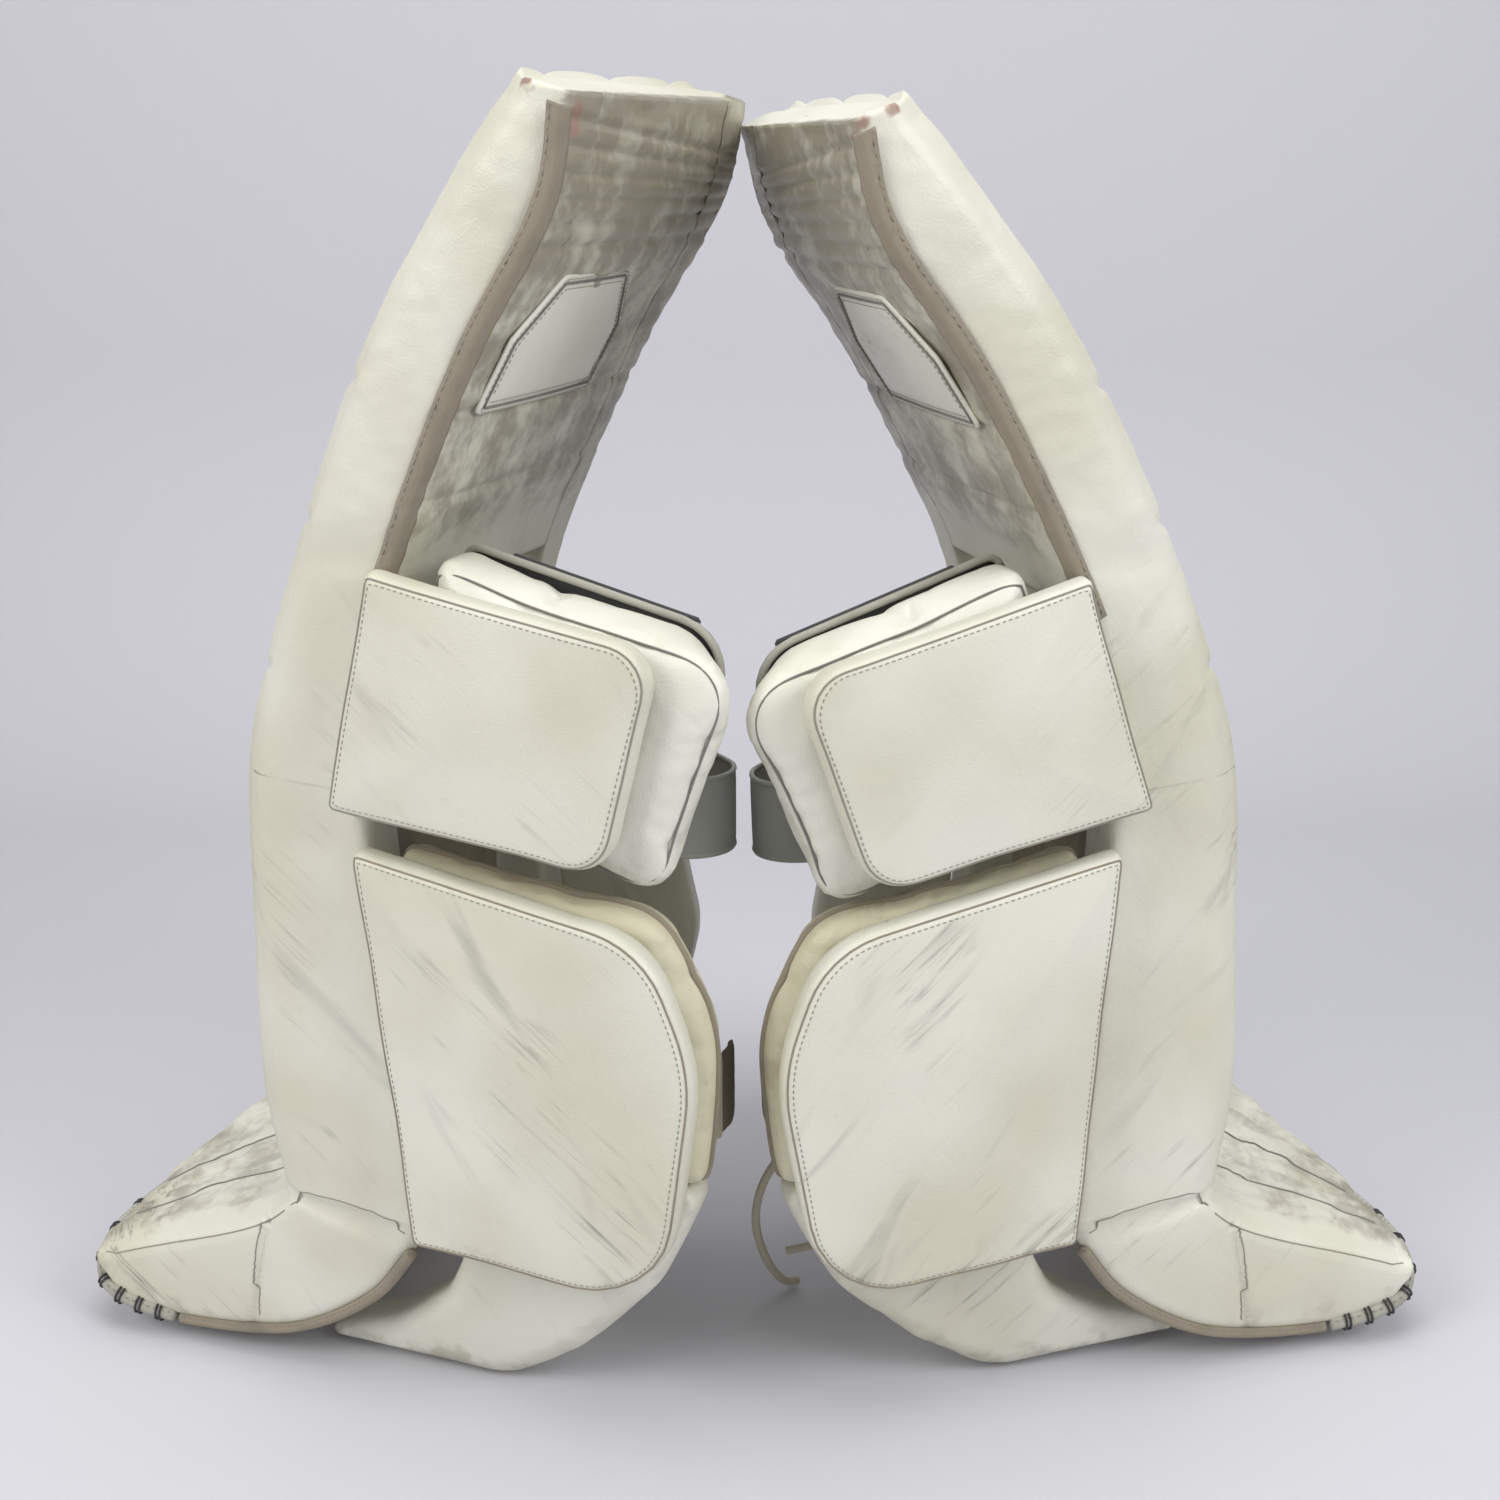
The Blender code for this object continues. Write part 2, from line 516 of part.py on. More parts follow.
def build_calf(pad):
    pad.hinge("calf_wedge", "calf_wedge_swing")
    pad.hinge("calf_flap", "calf_flap_swing", parent="calf_wedge")
    pad.hinge("calf_tab", "calf_tab_swing", parent="calf_wedge")
    pad.slab("calf_wedge", CALF_WEDGE, 0.003, 0.042, "calf_wedge", "cream_leather", 0.010)
    pad.slab("calf_foot", lifted(CALF_FOOT, pad.stance["foot_lift"]), 0.002, 0.043, "calf_wedge",
             "white_leather", 0.005, tilt=FOOT_TILT)
    band = [(-0.110, 0.0450, 0.230), (-0.154, 0.0455, 0.228), (-0.175, 0.058, 0.226), (-0.182, 0.080, 0.224)]
    pad.strip("calf_strap", smooth_line(band, 9), (0, 0, 0.064), 0.003, "calf_wedge", "cream_leather")
    tab = [(-0.182, 0.084, 0.224), (-0.181, 0.099, 0.223), (-0.179, 0.110, 0.220), (-0.174, 0.119, 0.215)]
    pad.strip("calf_strap_tab", smooth_line(tab, 5), (0, 0, 0.062), 0.004, "calf_tab", "tan_binding")
    thick = FLAP_HINGE_W - FLAP_THICKNESS
    pad.bag("calf_flap", CALF_FLAP, thick, FLAP_HINGE_W, "calf_flap", "white_leather", 0.020)


def build_outer_wings(pad):
    w_high = PAD_WIDTH - 0.003
    pad.hinge("outer_knee_wing", "outer_knee_swing")
    pad.slab("outer_knee_wing", OUTER_KNEE, w_high - 0.022, w_high, "outer_knee_wing", "white_leather")
    pad.hinge("outer_calf_wing", "outer_calf_swing")
    pad.slab("outer_calf_wing", OUTER_CALF, w_high - 0.022, w_high, "outer_calf_wing", "white_leather")


# The left pad's loose boot lace, as points (u, w, z), and its short end, which goes back up.
LACE_RADIUS = 0.0032
LACE = [(0.0641, 0.096, 0.203), (0.026, 0.097, 0.203), (-0.006, 0.100, 0.197), (-0.040, 0.106, 0.190),
        (-0.092, 0.118, 0.166), (-0.120, 0.128, 0.160), (-0.150, 0.140, 0.149), (-0.171, 0.150, 0.119),
        (-0.178, 0.157, 0.082), (-0.170, 0.163, 0.045), (-0.156, 0.169, 0.020), (-0.143, 0.176, 0.0120)]
SHORT_LACE = [(0.0649, 0.136, 0.145), (0.040, 0.137, 0.128), (0.010, 0.142, 0.092), (-0.040, 0.148, 0.070),
              (-0.100, 0.152, 0.058), (-0.156, 0.156, 0.052)]


def build_lace(pad):
    pad.tube("boot_lace", smooth_line(LACE, 56), LACE_RADIUS, "shin", "lace", sides=8)
    pad.tube("short_lace", smooth_line(SHORT_LACE, 31), LACE_RADIUS, "shin", "lace", sides=8)


def build_pad(leg):
    pad = Pad(leg, STANCES[leg])
    build_shin(pad)
    build_thigh(pad)
    build_boot(pad)
    build_knee(pad)
    build_calf(pad)
    build_outer_wings(pad)
    return pad


def main():
    clear_scene()
    build_pad("right")
    build_lace(build_pad("left"))


main()
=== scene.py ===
"""The looks of a pair of worn goalie leg pads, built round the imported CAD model.

Shapes are made once in the pad's own frame, in metres: u forwards to the pad's face, w from the
medial to the lateral side, z up. place() then puts one on each leg, mirrored, leaned and bent as
that leg's CAD bodies are.
"""
import math

import bmesh
import bpy
import numpy as np
from mathutils import Matrix, Vector, noise
from mathutils.bvhtree import BVHTree

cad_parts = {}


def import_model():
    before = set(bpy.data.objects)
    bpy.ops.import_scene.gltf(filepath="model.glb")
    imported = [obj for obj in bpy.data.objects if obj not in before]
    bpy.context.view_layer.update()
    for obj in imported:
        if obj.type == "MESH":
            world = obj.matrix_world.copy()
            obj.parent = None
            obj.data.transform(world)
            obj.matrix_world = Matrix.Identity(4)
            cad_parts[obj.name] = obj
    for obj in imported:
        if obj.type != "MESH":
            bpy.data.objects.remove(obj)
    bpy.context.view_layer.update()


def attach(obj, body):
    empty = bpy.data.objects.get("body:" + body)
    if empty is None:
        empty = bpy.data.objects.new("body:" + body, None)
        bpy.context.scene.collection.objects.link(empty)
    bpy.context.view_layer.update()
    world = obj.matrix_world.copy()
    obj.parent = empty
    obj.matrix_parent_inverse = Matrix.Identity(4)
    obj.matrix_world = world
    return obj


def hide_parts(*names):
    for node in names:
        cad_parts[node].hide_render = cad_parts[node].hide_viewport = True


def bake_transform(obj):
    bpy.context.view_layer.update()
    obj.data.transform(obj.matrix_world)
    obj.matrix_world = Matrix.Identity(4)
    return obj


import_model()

WIDTH = 0.279
BADGE_W = 0.112  # the middle of the badge
FACE_SEAM, ROLL_PITCH = 0.048, 0.0915  # the first upright seam of the face, and the rolls' width
PIPING_AVERAGINGS = 12
LACE_WIDTH = 0.0064
LEFT_TEXTURE_SHIFT = 3.7  # so that the two pads are not worn alike
CAMERA_AT, CAMERA_DOWN, CAMERA_LENS = (-0.0022, -1.3025, 0.83), 16.77, 47.3
STANCES = {
    "right": dict(mirror=-1, x=-0.1744, y=0.0184, yaw=19.0, lean=0.0, bend=0.0, sag=0.0, cut=0.0,
                  lift=0.0),
    "left": dict(mirror=1, x=0.1768, y=0.0264, yaw=14.4, lean=2.2, bend=2.0, sag=3.0, cut=0.007,
                 lift=0.0042),
}
LEAN_AXIS = (0.060, 0.130)
KNEE_BREAK = (0.078, 0.5815)
STACK_AXIS = (0.0285, 0.5115)

# The face line and the rear line of the rise and the shin, from the top to the ankle, as (u, z).
FACE = [(-0.088, 0.874), (-0.058, 0.836), (0.000, 0.750), (0.041, 0.670), (0.077, 0.581),
        (0.101, 0.515), (0.119, 0.445), (0.124, 0.340), (0.126, 0.220), (0.114, 0.140)]
REAR = [(-0.124, 0.864), (-0.110, 0.800), (-0.062, 0.722), (-0.024, 0.645), (0.012, 0.557),
        (0.024, 0.505), (0.030, 0.440), (0.024, 0.340), (0.012, 0.220), (0.007, 0.128)]
BOOT_TOP = [(0.1145, 0.1375), (0.138, 0.120), (0.170, 0.107), (0.220, 0.090), (0.262, 0.074), (0.277, 0.064)]
BOOT_SOLE = [(0.014, 0.114), (0.050, 0.069), (0.115, 0.031), (0.200, 0.0190), (0.252, 0.025), (0.270, 0.043)]
BOOT_WIDTH = [0.278, 0.274, 0.262, 0.200, 0.130, 0.105]
BOOT_PLATE = [0.050, 0.040, 0.034, 0.028, 0.022, 0.010]
BOOT_FLARE_U = [0.020, 0.045, 0.040, 0.010, 0.0, 0.0]
BOOT_FLARE_Z = [0.0, 0.012, 0.026, 0.030, 0.018, 0.008]
PLATE = 0.060
MEDIAL_WALL, LATERAL_WALL, BOOT_WALL = 0.040, 0.036, 0.018
SPLIT = 6  # the knot of FACE and REAR, below the knee, where the upper and lower covers meet

KNEE_FLAP = ([(0.009, 0.589), (-0.181, 0.552), (-0.143, 0.409), (0.046, 0.434)],
             [0.003, 0.028, 0.030, 0.003])
KNEE_BLOCK = ([(-0.020, 0.595), (-0.225, 0.541), (-0.172, 0.384), (0.018, 0.438)],
              [0.010, 0.034, 0.026, 0.006])
CALF_FLAP = ([(0.030, 0.408), (-0.170, 0.370), (-0.203, 0.288), (-0.178, 0.117), (0.001, 0.131)],
             [0.003, 0.066, 0.120, 0.066, 0.003])
CALF_WEDGE = ([(0.016, 0.403), (-0.168, 0.376), (-0.203, 0.300), (-0.197, 0.192), (-0.002, 0.192)],
              [0.008, 0.046, 0.080, 0.008, 0.006])
CALF_FOOT = (
    [(-0.006, 0.189), (-0.197, 0.189), (-0.152, 0.098), (-0.096, 0.038), (-0.040, 0.001),
     (0.104, 0.001), (0.105, 0.011), (0.052, 0.034), (0.006, 0.072), (-0.014, 0.112)],
    [0.004, 0.010, 0.044, 0.060, 0.060, 0.004, 0.004, 0.020, 0.018, 0.010],
)
FOOT_TILT = 0.15
OUTER_KNEE = ([(0.012, 0.512), (-0.074, 0.500), (-0.070, 0.420), (0.026, 0.424)],
              [0.004, 0.026, 0.026, 0.004])
OUTER_CALF = ([(0.022, 0.402), (-0.070, 0.392), (-0.098, 0.270), (-0.070, 0.136), (0.004, 0.136)],
              [0.004, 0.030, 0.060, 0.034, 0.004])


# ---- lines and outlines ----
def smooth_line(points, count, first=0.0, last=None):
    """count points along a smooth curve through the given ones, between two of its knots."""
    known = np.array(points, float)
    if known.ndim == 1:
        known = known[:, None]
    known = np.vstack([2 * known[0] - known[1], known, 2 * known[-1] - known[-2]])
    end = len(points) - 1 if last is None else last
    found = []
    for place in np.linspace(first, end, count):
        k = min(int(place), len(points) - 2)
        t = place - k
        a, b, c, d = known[k : k + 4]
        found.append(
            0.5 * (2 * b + (c - a) * t + (2 * a - 5 * b + 4 * c - d) * t**2 + (3 * b - a - 3 * c + d) * t**3)
        )
    return np.array(found)


def step(value, low, high):
    """0 below low, 1 above high, and smooth between."""
    t = np.clip((np.asarray(value, float) - low) / (high - low), 0, 1)
    return t * t * (3 - 2 * t)


def rounded(outline, inset=0.0, steps=6):
    """A closed outline of (u, z) points with an arc at each corner, moved inwards by inset."""
    corners, radii = outline
    points = [Vector(c) for c in corners]
    area = sum(a.x * b.y - b.x * a.y for a, b in zip(points, points[1:] + points[:1]))
    side = 1 if area > 0 else -1
    found = []
    for i, corner in enumerate(points):
        before = (corner - points[i - 1]).normalized()
        after = (points[(i + 1) % len(points)] - corner).normalized()
        angle = math.atan2(before.x * after.y - before.y * after.x, before.dot(after))
        inward = side * Vector((-before.y - after.y, before.x + after.x))
        moved = corner + inward / (1 + before.dot(after)) * inset
        radius = max(radii[i] - inset, 0.0008) if angle * side > 0 else radii[i] + inset
        start = moved - before * radius * abs(math.tan(angle / 2))
        normal = Vector((-before.y, before.x)) * (1 if angle > 0 else -1)
        centre = start + normal * radius
        found += [centre + Matrix.Rotation(angle * k / steps, 2) @ (start - centre) for k in range(steps + 1)]
    return np.array([tuple(p) for p in found])


def even(points, spacing, closed=True):
    """The line resampled to nearly the given spacing."""
    line = np.array(points, float)
    if closed:
        line = np.vstack([line, line[:1]])
    reach = np.concatenate([[0], np.cumsum(np.linalg.norm(np.diff(line, axis=0), axis=1))])
    count = max(3, int(round(reach[-1] / spacing)))
    places = np.linspace(0, reach[-1], count, endpoint=not closed)
    return np.stack([np.interp(places, reach, line[:, k]) for k in range(line.shape[1])], axis=1)


# ---- shapes: (points, faces) in the pad's frame ----
def loft(rings, caps=(True, True)):
    count = len(rings[0])
    faces = []
    for r in range(len(rings) - 1):
        for i in range(count):
            j = (i + 1) % count
            faces.append((r * count + i, r * count + j, (r + 1) * count + j, (r + 1) * count + i))
    if caps[0]:
        faces.append(tuple(range(count)))
    if caps[1]:
        faces.append(tuple((len(rings) - 1) * count + i for i in range(count)))
    return np.vstack(rings), faces


def joined(*shapes):
    points, faces, offset = [], [], 0
    for verts, polys in shapes:
        points.append(verts)
        faces += [tuple(i + offset for i in f) for f in polys]
        offset += len(verts)
    return np.vstack(points), faces


def tube(line, radius, sides=8, flat=1.0, taper=False):
    """A round or flattened tube along a line, closed at its ends."""
    line = np.array(line, float)
    apart = np.linalg.norm(np.diff(line, axis=0), axis=1) > 1e-5
    line = line[np.concatenate([[True], apart])]
    ahead = np.gradient(line, axis=0)
    ahead /= np.maximum(np.linalg.norm(ahead, axis=1), 1e-9)[:, None]
    upright = np.array([0.0, 1.0, 0.0])
    rings = []
    for i, (point, along) in enumerate(zip(line, ahead)):
        upright = upright - along * upright.dot(along)
        if np.linalg.norm(upright) < 1e-6:
            upright = np.cross(along, [1.0, 0.3, 0.2])
        upright = upright / np.linalg.norm(upright)
        other = np.cross(along, upright)
        size = radius * (0.35 if taper and i in (0, len(line) - 1) else 1.0)
        turns = [2 * math.pi * k / sides for k in range(sides)]
        rings.append([point + size * (math.cos(t) * upright + flat * math.sin(t) * other) for t in turns])
    return loft([np.array(r) for r in rings])


def band(line, across, thickness, columns=6):
    """A flat strap with rounded edges along a line, as wide as the vector across."""
    line, across = np.array(line, float), np.array(across, float)
    ahead = np.gradient(line, axis=0)
    rings = []
    for point, along in zip(line, ahead):
        out = np.cross(along, across)
        out /= np.linalg.norm(out)
        places = np.linspace(-0.5, 0.5, columns + 1)
        thick = thickness / 2 * np.sqrt(np.clip(1.06 - (2 * np.abs(places)) ** 6, 0.02, 1))
        low = [point + across * p - out * t for p, t in zip(places, thick)]
        high = [point + across * p + out * t for p, t in zip(places, thick)]
        rings.append(np.array(low + high[::-1]))
    return loft(rings)


def panel(outline, outer, inner, crown, edge):
    """A flat panel in the side plane. Its outer face is at w = outer, crowned, with a rolled edge."""
    ring = even(rounded(outline), 0.0035)
    centre = ring.mean(0)
    side = math.copysign(1, inner - outer)
    thick = abs(inner - outer)
    scales = [1.0, 0.997, 0.99, 0.98, 0.967, 0.95, 0.925, 0.89, 0.84, 0.78]
    scales += [0.7, 0.6, 0.5, 0.4, 0.3, 0.2, 0.1, 0.04]
    reach = np.linalg.norm(ring - centre, axis=1)

    def face(scale, outwards):
        flat = centre + (ring - centre) * scale
        from_edge = reach * (1 - scale)
        roll = np.sqrt(np.clip(1 - (1 - np.clip(from_edge / edge, 0, 1)) ** 2, 0, 1))
        rise = thick / 2 * (0.25 + 0.75 * roll)
        if outwards:
            rise = rise + crown * (1 - scale**2)
        w = (outer + inner) / 2 - side * rise * (1 if outwards else -1)
        return np.stack([flat[:, 0], w, flat[:, 1]], axis=1)

    rings = [face(s, True) for s in scales[::-1]] + [face(s, False) for s in scales]
    return loft(rings)


def slab(outline, w_low, w_high, edge, far=None, tilt=0.0):
    """A cushion's plain form: the outline between two planes, with rounded edges."""
    far = far or outline
    rings = []
    profile = [(0, 1.0), (0.3, 0.45), (1.0, 0.0)]
    for depth, shrink in profile:
        flat = rounded(outline, edge * shrink)
        rings.append((flat, w_low + edge * depth))
    for depth, shrink in profile[::-1]:
        flat = rounded(far, edge * shrink)
        rings.append((flat, w_high - edge * depth))
    top = max(c[1] for c in outline[0])
    made = []
    for flat, w in rings:
        made.append(np.stack([flat[:, 0], w + tilt * (top - flat[:, 1]), flat[:, 1]], axis=1))
    return loft(made)


def to_mesh(name, shape):
    mesh = bpy.data.meshes.new(name)
    mesh.from_pydata([tuple(p) for p in shape[0]], [], shape[1])
    work = bmesh.new()
    work.from_mesh(mesh)
    bmesh.ops.remove_doubles(work, verts=work.verts, dist=1e-6)
    bmesh.ops.recalc_face_normals(work, faces=work.faces)
    work.to_mesh(mesh)
    work.free()
    return mesh


def from_mesh(mesh):
    points = np.array([v.co for v in mesh.vertices], float)
    return points, [tuple(p.vertices) for p in mesh.polygons]


def evaluated(obj):
    found = obj.evaluated_get(bpy.context.evaluated_depsgraph_get())
    mesh = bpy.data.meshes.new_from_object(found)
    shape = from_mesh(mesh)
    bpy.data.meshes.remove(mesh)
    return shape


def linked(name, data):
    """A new object in the scene that shows data."""
    obj = bpy.data.objects.new(name, data)
    bpy.context.scene.collection.objects.link(obj)
    return obj


def inflated(name, shape, voxel=0.005, pressure=3.0, cap=0.005):
    """The shape remeshed and swollen as cloth under pressure, so that it looks stuffed."""
    work = linked(f"work_{name}", to_mesh(name, shape))
    remesh = work.modifiers.new("remesh", "REMESH")
    remesh.mode = "VOXEL"
    remesh.voxel_size = voxel
    bpy.context.view_layer.update()
    start = evaluated(work)
    bpy.data.objects.remove(work)
    sewn = linked(f"cloth_{name}", to_mesh(name, start))
    before = from_mesh(sewn.data)
    cloth = sewn.modifiers.new("cloth", "CLOTH")
    cloth.settings.quality = 4
    cloth.settings.mass = 0.3
    cloth.settings.tension_stiffness = 20
    cloth.settings.compression_stiffness = 12
    cloth.settings.bending_stiffness = 2.0
    cloth.settings.use_pressure = True
    cloth.settings.uniform_pressure_force = pressure
    cloth.settings.effector_weights.gravity = 0
    cloth.point_cache.frame_start, cloth.point_cache.frame_end = 1, 20
    for number in range(1, 21):
        bpy.context.scene.frame_set(number)
    after = evaluated(sewn)
    bpy.data.objects.remove(sewn)
    bpy.context.scene.frame_set(1)
    move = after[0] - before[0]
    far = np.linalg.norm(move, axis=1)
    move *= (np.minimum(far, cap) / np.maximum(far, 1e-9))[:, None]
    return before[0] + move, before[1]


def tree_of(shape):
    return BVHTree.FromPolygons([tuple(p) for p in shape[0]], shape[1])


def on_surface(shape, line, lift):
    """The line laid on the shape's surface, lifted off it by lift."""
    tree = tree_of(shape)
    centre = shape[0].mean(0)
    found = []
    for point in np.array(line, float):
        at, normal, _, _ = tree.find_nearest(Vector(point))
        if normal.dot(Vector(point) - Vector(centre)) < 0 and normal.dot(at - Vector(centre)) < 0:
            normal = -normal
        found.append(tuple(at + normal * lift))
    return np.array(found)


def stitches(line, pitch=0.0055, share=0.62, radius=0.0005, closed=False):
    """Thread that shows as a row of short raised stitches along a line."""
    dense = even(line, pitch, closed)
    shapes = []
    for a, b in zip(dense[:-1], dense[1:]):
        shapes.append(tube([a, a + (b - a) * share * 0.5, a + (b - a) * share], radius, 5, taper=True))
    return joined(*shapes)


def stretched_noise(points, scales, shift):
    """Soft noise at each point, from -1 to 1, stretched by scales and moved by shift."""
    return np.array([noise.noise(Vector(p)) for p in points * scales + shift])


def rippled(shape, size, scales, seed):
    """The shape with soft folds: each point moves along its normal by stretched noise."""
    mesh = to_mesh("ripple", shape)
    points, faces = from_mesh(mesh)
    normals = np.array([v.normal for v in mesh.vertices])
    bpy.data.meshes.remove(mesh)
    lift = stretched_noise(points, scales, (seed, 0.0, seed))
    return points + normals * (size * lift)[:, None], faces


# ---- from the pad's frame to a leg's place ----
def turned(points, pivot, degrees, share=1.0):
    """Points turned back in the side plane about (u, z) by degrees, each by its share."""
    angle = np.radians(degrees) * share
    u, z = points[:, 0] - pivot[0], points[:, 2] - pivot[1]
    found = points.copy()
    found[:, 0] = pivot[0] + u * np.cos(angle) - z * np.sin(angle)
    found[:, 2] = pivot[1] + u * np.sin(angle) + z * np.cos(angle)
    return found


def settled(leg, points, how):
    """The points where the leg's bodies lie at rest, still in the pad's frame."""
    stance = STANCES[leg]
    points = np.array(points, float)
    if how == "cover":
        rise = step(points[:, 2], 0.560, 0.600)
        points = turned(points, KNEE_BREAK, stance["bend"], rise)
        return turned(points, LEAN_AXIS, stance["lean"], step(points[:, 2], 0.118, 0.150))
    if how == "thigh":
        points = turned(points, KNEE_BREAK, stance["bend"])
    if how == "stack":
        points = turned(points, STACK_AXIS, stance["sag"])
    if how == "base":
        return points
    return turned(points, LEAN_AXIS, stance["lean"])


def world(leg, points):
    stance = STANCES[leg]
    turn = math.radians(stance["yaw"]) if stance["mirror"] > 0 else math.pi - math.radians(stance["yaw"])
    y = stance["mirror"] * (points[:, 1] - WIDTH / 2)
    found = np.empty_like(points)
    found[:, 0] = stance["x"] + points[:, 0] * math.cos(turn) - y * math.sin(turn)
    found[:, 1] = stance["y"] + points[:, 0] * math.sin(turn) + y * math.cos(turn)
    found[:, 2] = points[:, 2]
    return found


HOW = {"shin": "upper", "thigh": "thigh", "boot": "base", "knee_stack": "stack", "knee_flap": "stack"}


def place(leg, name, shape, body, finish, slot, nodes=(), smooth=0, how=None, marks=None):
    """A shape as a piece on one leg, riding on its body and standing for CAD nodes."""
    points = np.array(shape[0], float)
    at = settled(leg, points, how or HOW.get(body, "upper"))
    mesh = to_mesh_kept(f"{leg}_{name}_look", world(leg, at), shape[1])
    local = mesh.attributes.new("local", "FLOAT_VECTOR", "POINT")
    shift = np.array([0.0, 0.0, 0.0 if leg == "right" else LEFT_TEXTURE_SHIFT])
    local.data.foreach_set("vector", (points + shift).astype(np.float32).ravel())
    # The first mask is real dirt on most pieces, and painted shade on the knee block.
    for key, plain in (("dirt_and_shade", 0.0), ("wear", 0.0), ("scuff", 1.0)):
        values = (marks or {}).get(key)
        layer = mesh.attributes.new(key, "FLOAT", "POINT")
        found = np.full(len(points), plain) if values is None else values(leg, points)
        layer.data.foreach_set("value", np.asarray(found, np.float32))
    mesh.shade_smooth()
    mesh.materials.append(finish)
    piece = linked(f"{leg}_{name}_look", mesh)
    if smooth:
        rounder = piece.modifiers.new("rounder", "SUBSURF")
        rounder.levels = rounder.render_levels = smooth
    if nodes:
        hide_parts(*[f"{leg}_{n}" for n in nodes])
    if body:
        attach(piece, f"{leg}_{body}")
    return piece


def to_mesh_kept(name, points, faces):
    """A mesh with outward normals whose points keep their order."""
    mesh = bpy.data.meshes.new(name)
    mesh.from_pydata([tuple(p) for p in points], [], faces)
    work = bmesh.new()
    work.from_mesh(mesh)
    bmesh.ops.recalc_face_normals(work, faces=work.faces)
    work.to_mesh(mesh)
    work.free()
    return mesh


def world_point(leg, point, how="upper"):
    return tuple(world(leg, settled(leg, np.array([point], float), how))[0])


# ---- materials ----
class Shader:
    """A Principled material whose textures follow the pad's own coordinates."""

    def __init__(self, name, roughness=0.5, sheen=0.0):
        self.material = bpy.data.materials.new(name)
        self.material.use_nodes = True
        self.tree = self.material.node_tree
        self.surface = self.tree.nodes["Principled BSDF"]
        self.surface.inputs["Roughness"].default_value = roughness
        self.surface.inputs["Sheen Weight"].default_value = sheen
        self.place = self.tree.nodes.new("ShaderNodeAttribute")
        self.place.attribute_name = "local"

    def link(self, socket, value):
        if isinstance(value, bpy.types.NodeSocket):
            self.tree.links.new(value, socket)
        elif isinstance(value, tuple) and len(value) == 3 and socket.type == "RGBA":
            socket.default_value = (*value, 1.0)
        else:
            socket.default_value = value

    def mask(self, name):
        node = self.tree.nodes.new("ShaderNodeAttribute")
        node.attribute_name = name
        return node.outputs["Fac"]

    def coords(self, stretch=(1, 1, 1), turn=0):
        """The pad's coordinates turned in the side plane by turn degrees, then stretched."""
        if turn == 0 and stretch == (1, 1, 1):
            return self.place.outputs["Vector"]
        node = self.tree.nodes.new("ShaderNodeMapping")
        node.vector_type = "TEXTURE"
        self.link(node.inputs["Vector"], self.place.outputs["Vector"])
        node.inputs["Rotation"].default_value = (0, -math.radians(turn), 0)
        node.inputs["Scale"].default_value = [1 / part for part in stretch]
        return node.outputs["Vector"]

    def noise(self, scale, detail=2, rough=0.55, stretch=(1, 1, 1), turn=0, distortion=0.0):
        node = self.tree.nodes.new("ShaderNodeTexNoise")
        self.link(node.inputs["Vector"], self.coords(stretch, turn))
        node.inputs["Scale"].default_value = scale
        node.inputs["Detail"].default_value = detail
        node.inputs["Roughness"].default_value = rough
        node.inputs["Distortion"].default_value = distortion
        return node.outputs["Fac"]

    def cells(self, scale):
        node = self.tree.nodes.new("ShaderNodeTexVoronoi")
        self.link(node.inputs["Vector"], self.coords())
        node.inputs["Scale"].default_value = scale
        return node.outputs["Distance"]

    def waves(self, scale, axis="Z", distortion=0.0):
        node = self.tree.nodes.new("ShaderNodeTexWave")
        node.bands_direction = axis
        self.link(node.inputs["Vector"], self.coords())
        node.inputs["Scale"].default_value = scale
        node.inputs["Distortion"].default_value = distortion
        return node.outputs["Fac"]

    def between(self, value, low, high, to_low=0.0, to_high=1.0):
        node = self.tree.nodes.new("ShaderNodeMapRange")
        node.interpolation_type = "SMOOTHSTEP"
        for name, part in (("Value", value), ("From Min", low), ("From Max", high), ("To Min", to_low),
                           ("To Max", to_high)):
            self.link(node.inputs[name], part)
        return node.outputs["Result"]

    def math(self, operation, a, b):
        node = self.tree.nodes.new("ShaderNodeMath")
        node.operation = operation
        node.use_clamp = operation in ("ADD", "MULTIPLY")
        self.link(node.inputs[0], a)
        self.link(node.inputs[1], b)
        return node.outputs[0]

    def mix(self, share, a, b):
        node = self.tree.nodes.new("ShaderNodeMix")
        node.data_type = "RGBA"
        self.link(node.inputs["Factor"], share)
        self.link(node.inputs["A"], a)
        self.link(node.inputs["B"], b)
        return node.outputs["Result"]

    def bump(self, heights):
        """heights is a list of (height, distance in metres), stacked into one normal."""
        normal = None
        for height, distance in heights:
            node = self.tree.nodes.new("ShaderNodeBump")
            node.inputs["Strength"].default_value = 1.0
            node.inputs["Distance"].default_value = distance
            self.link(node.inputs["Height"], height)
            if normal is not None:
                self.link(node.inputs["Normal"], normal)
            normal = node.outputs["Normal"]
        self.link(self.surface.inputs["Normal"], normal)

    def paint(self, colour, rough=None):
        self.link(self.surface.inputs["Base Color"], colour)
        if rough is not None:
            self.link(self.surface.inputs["Roughness"], rough)
        return self.material


SCUFF = (0.115, 0.112, 0.100)
# Grime colour, which also paints shade on the knee block.
GRIME_AND_SHADE = (0.255, 0.225, 0.165)
WORN = (0.33, 0.22, 0.17)


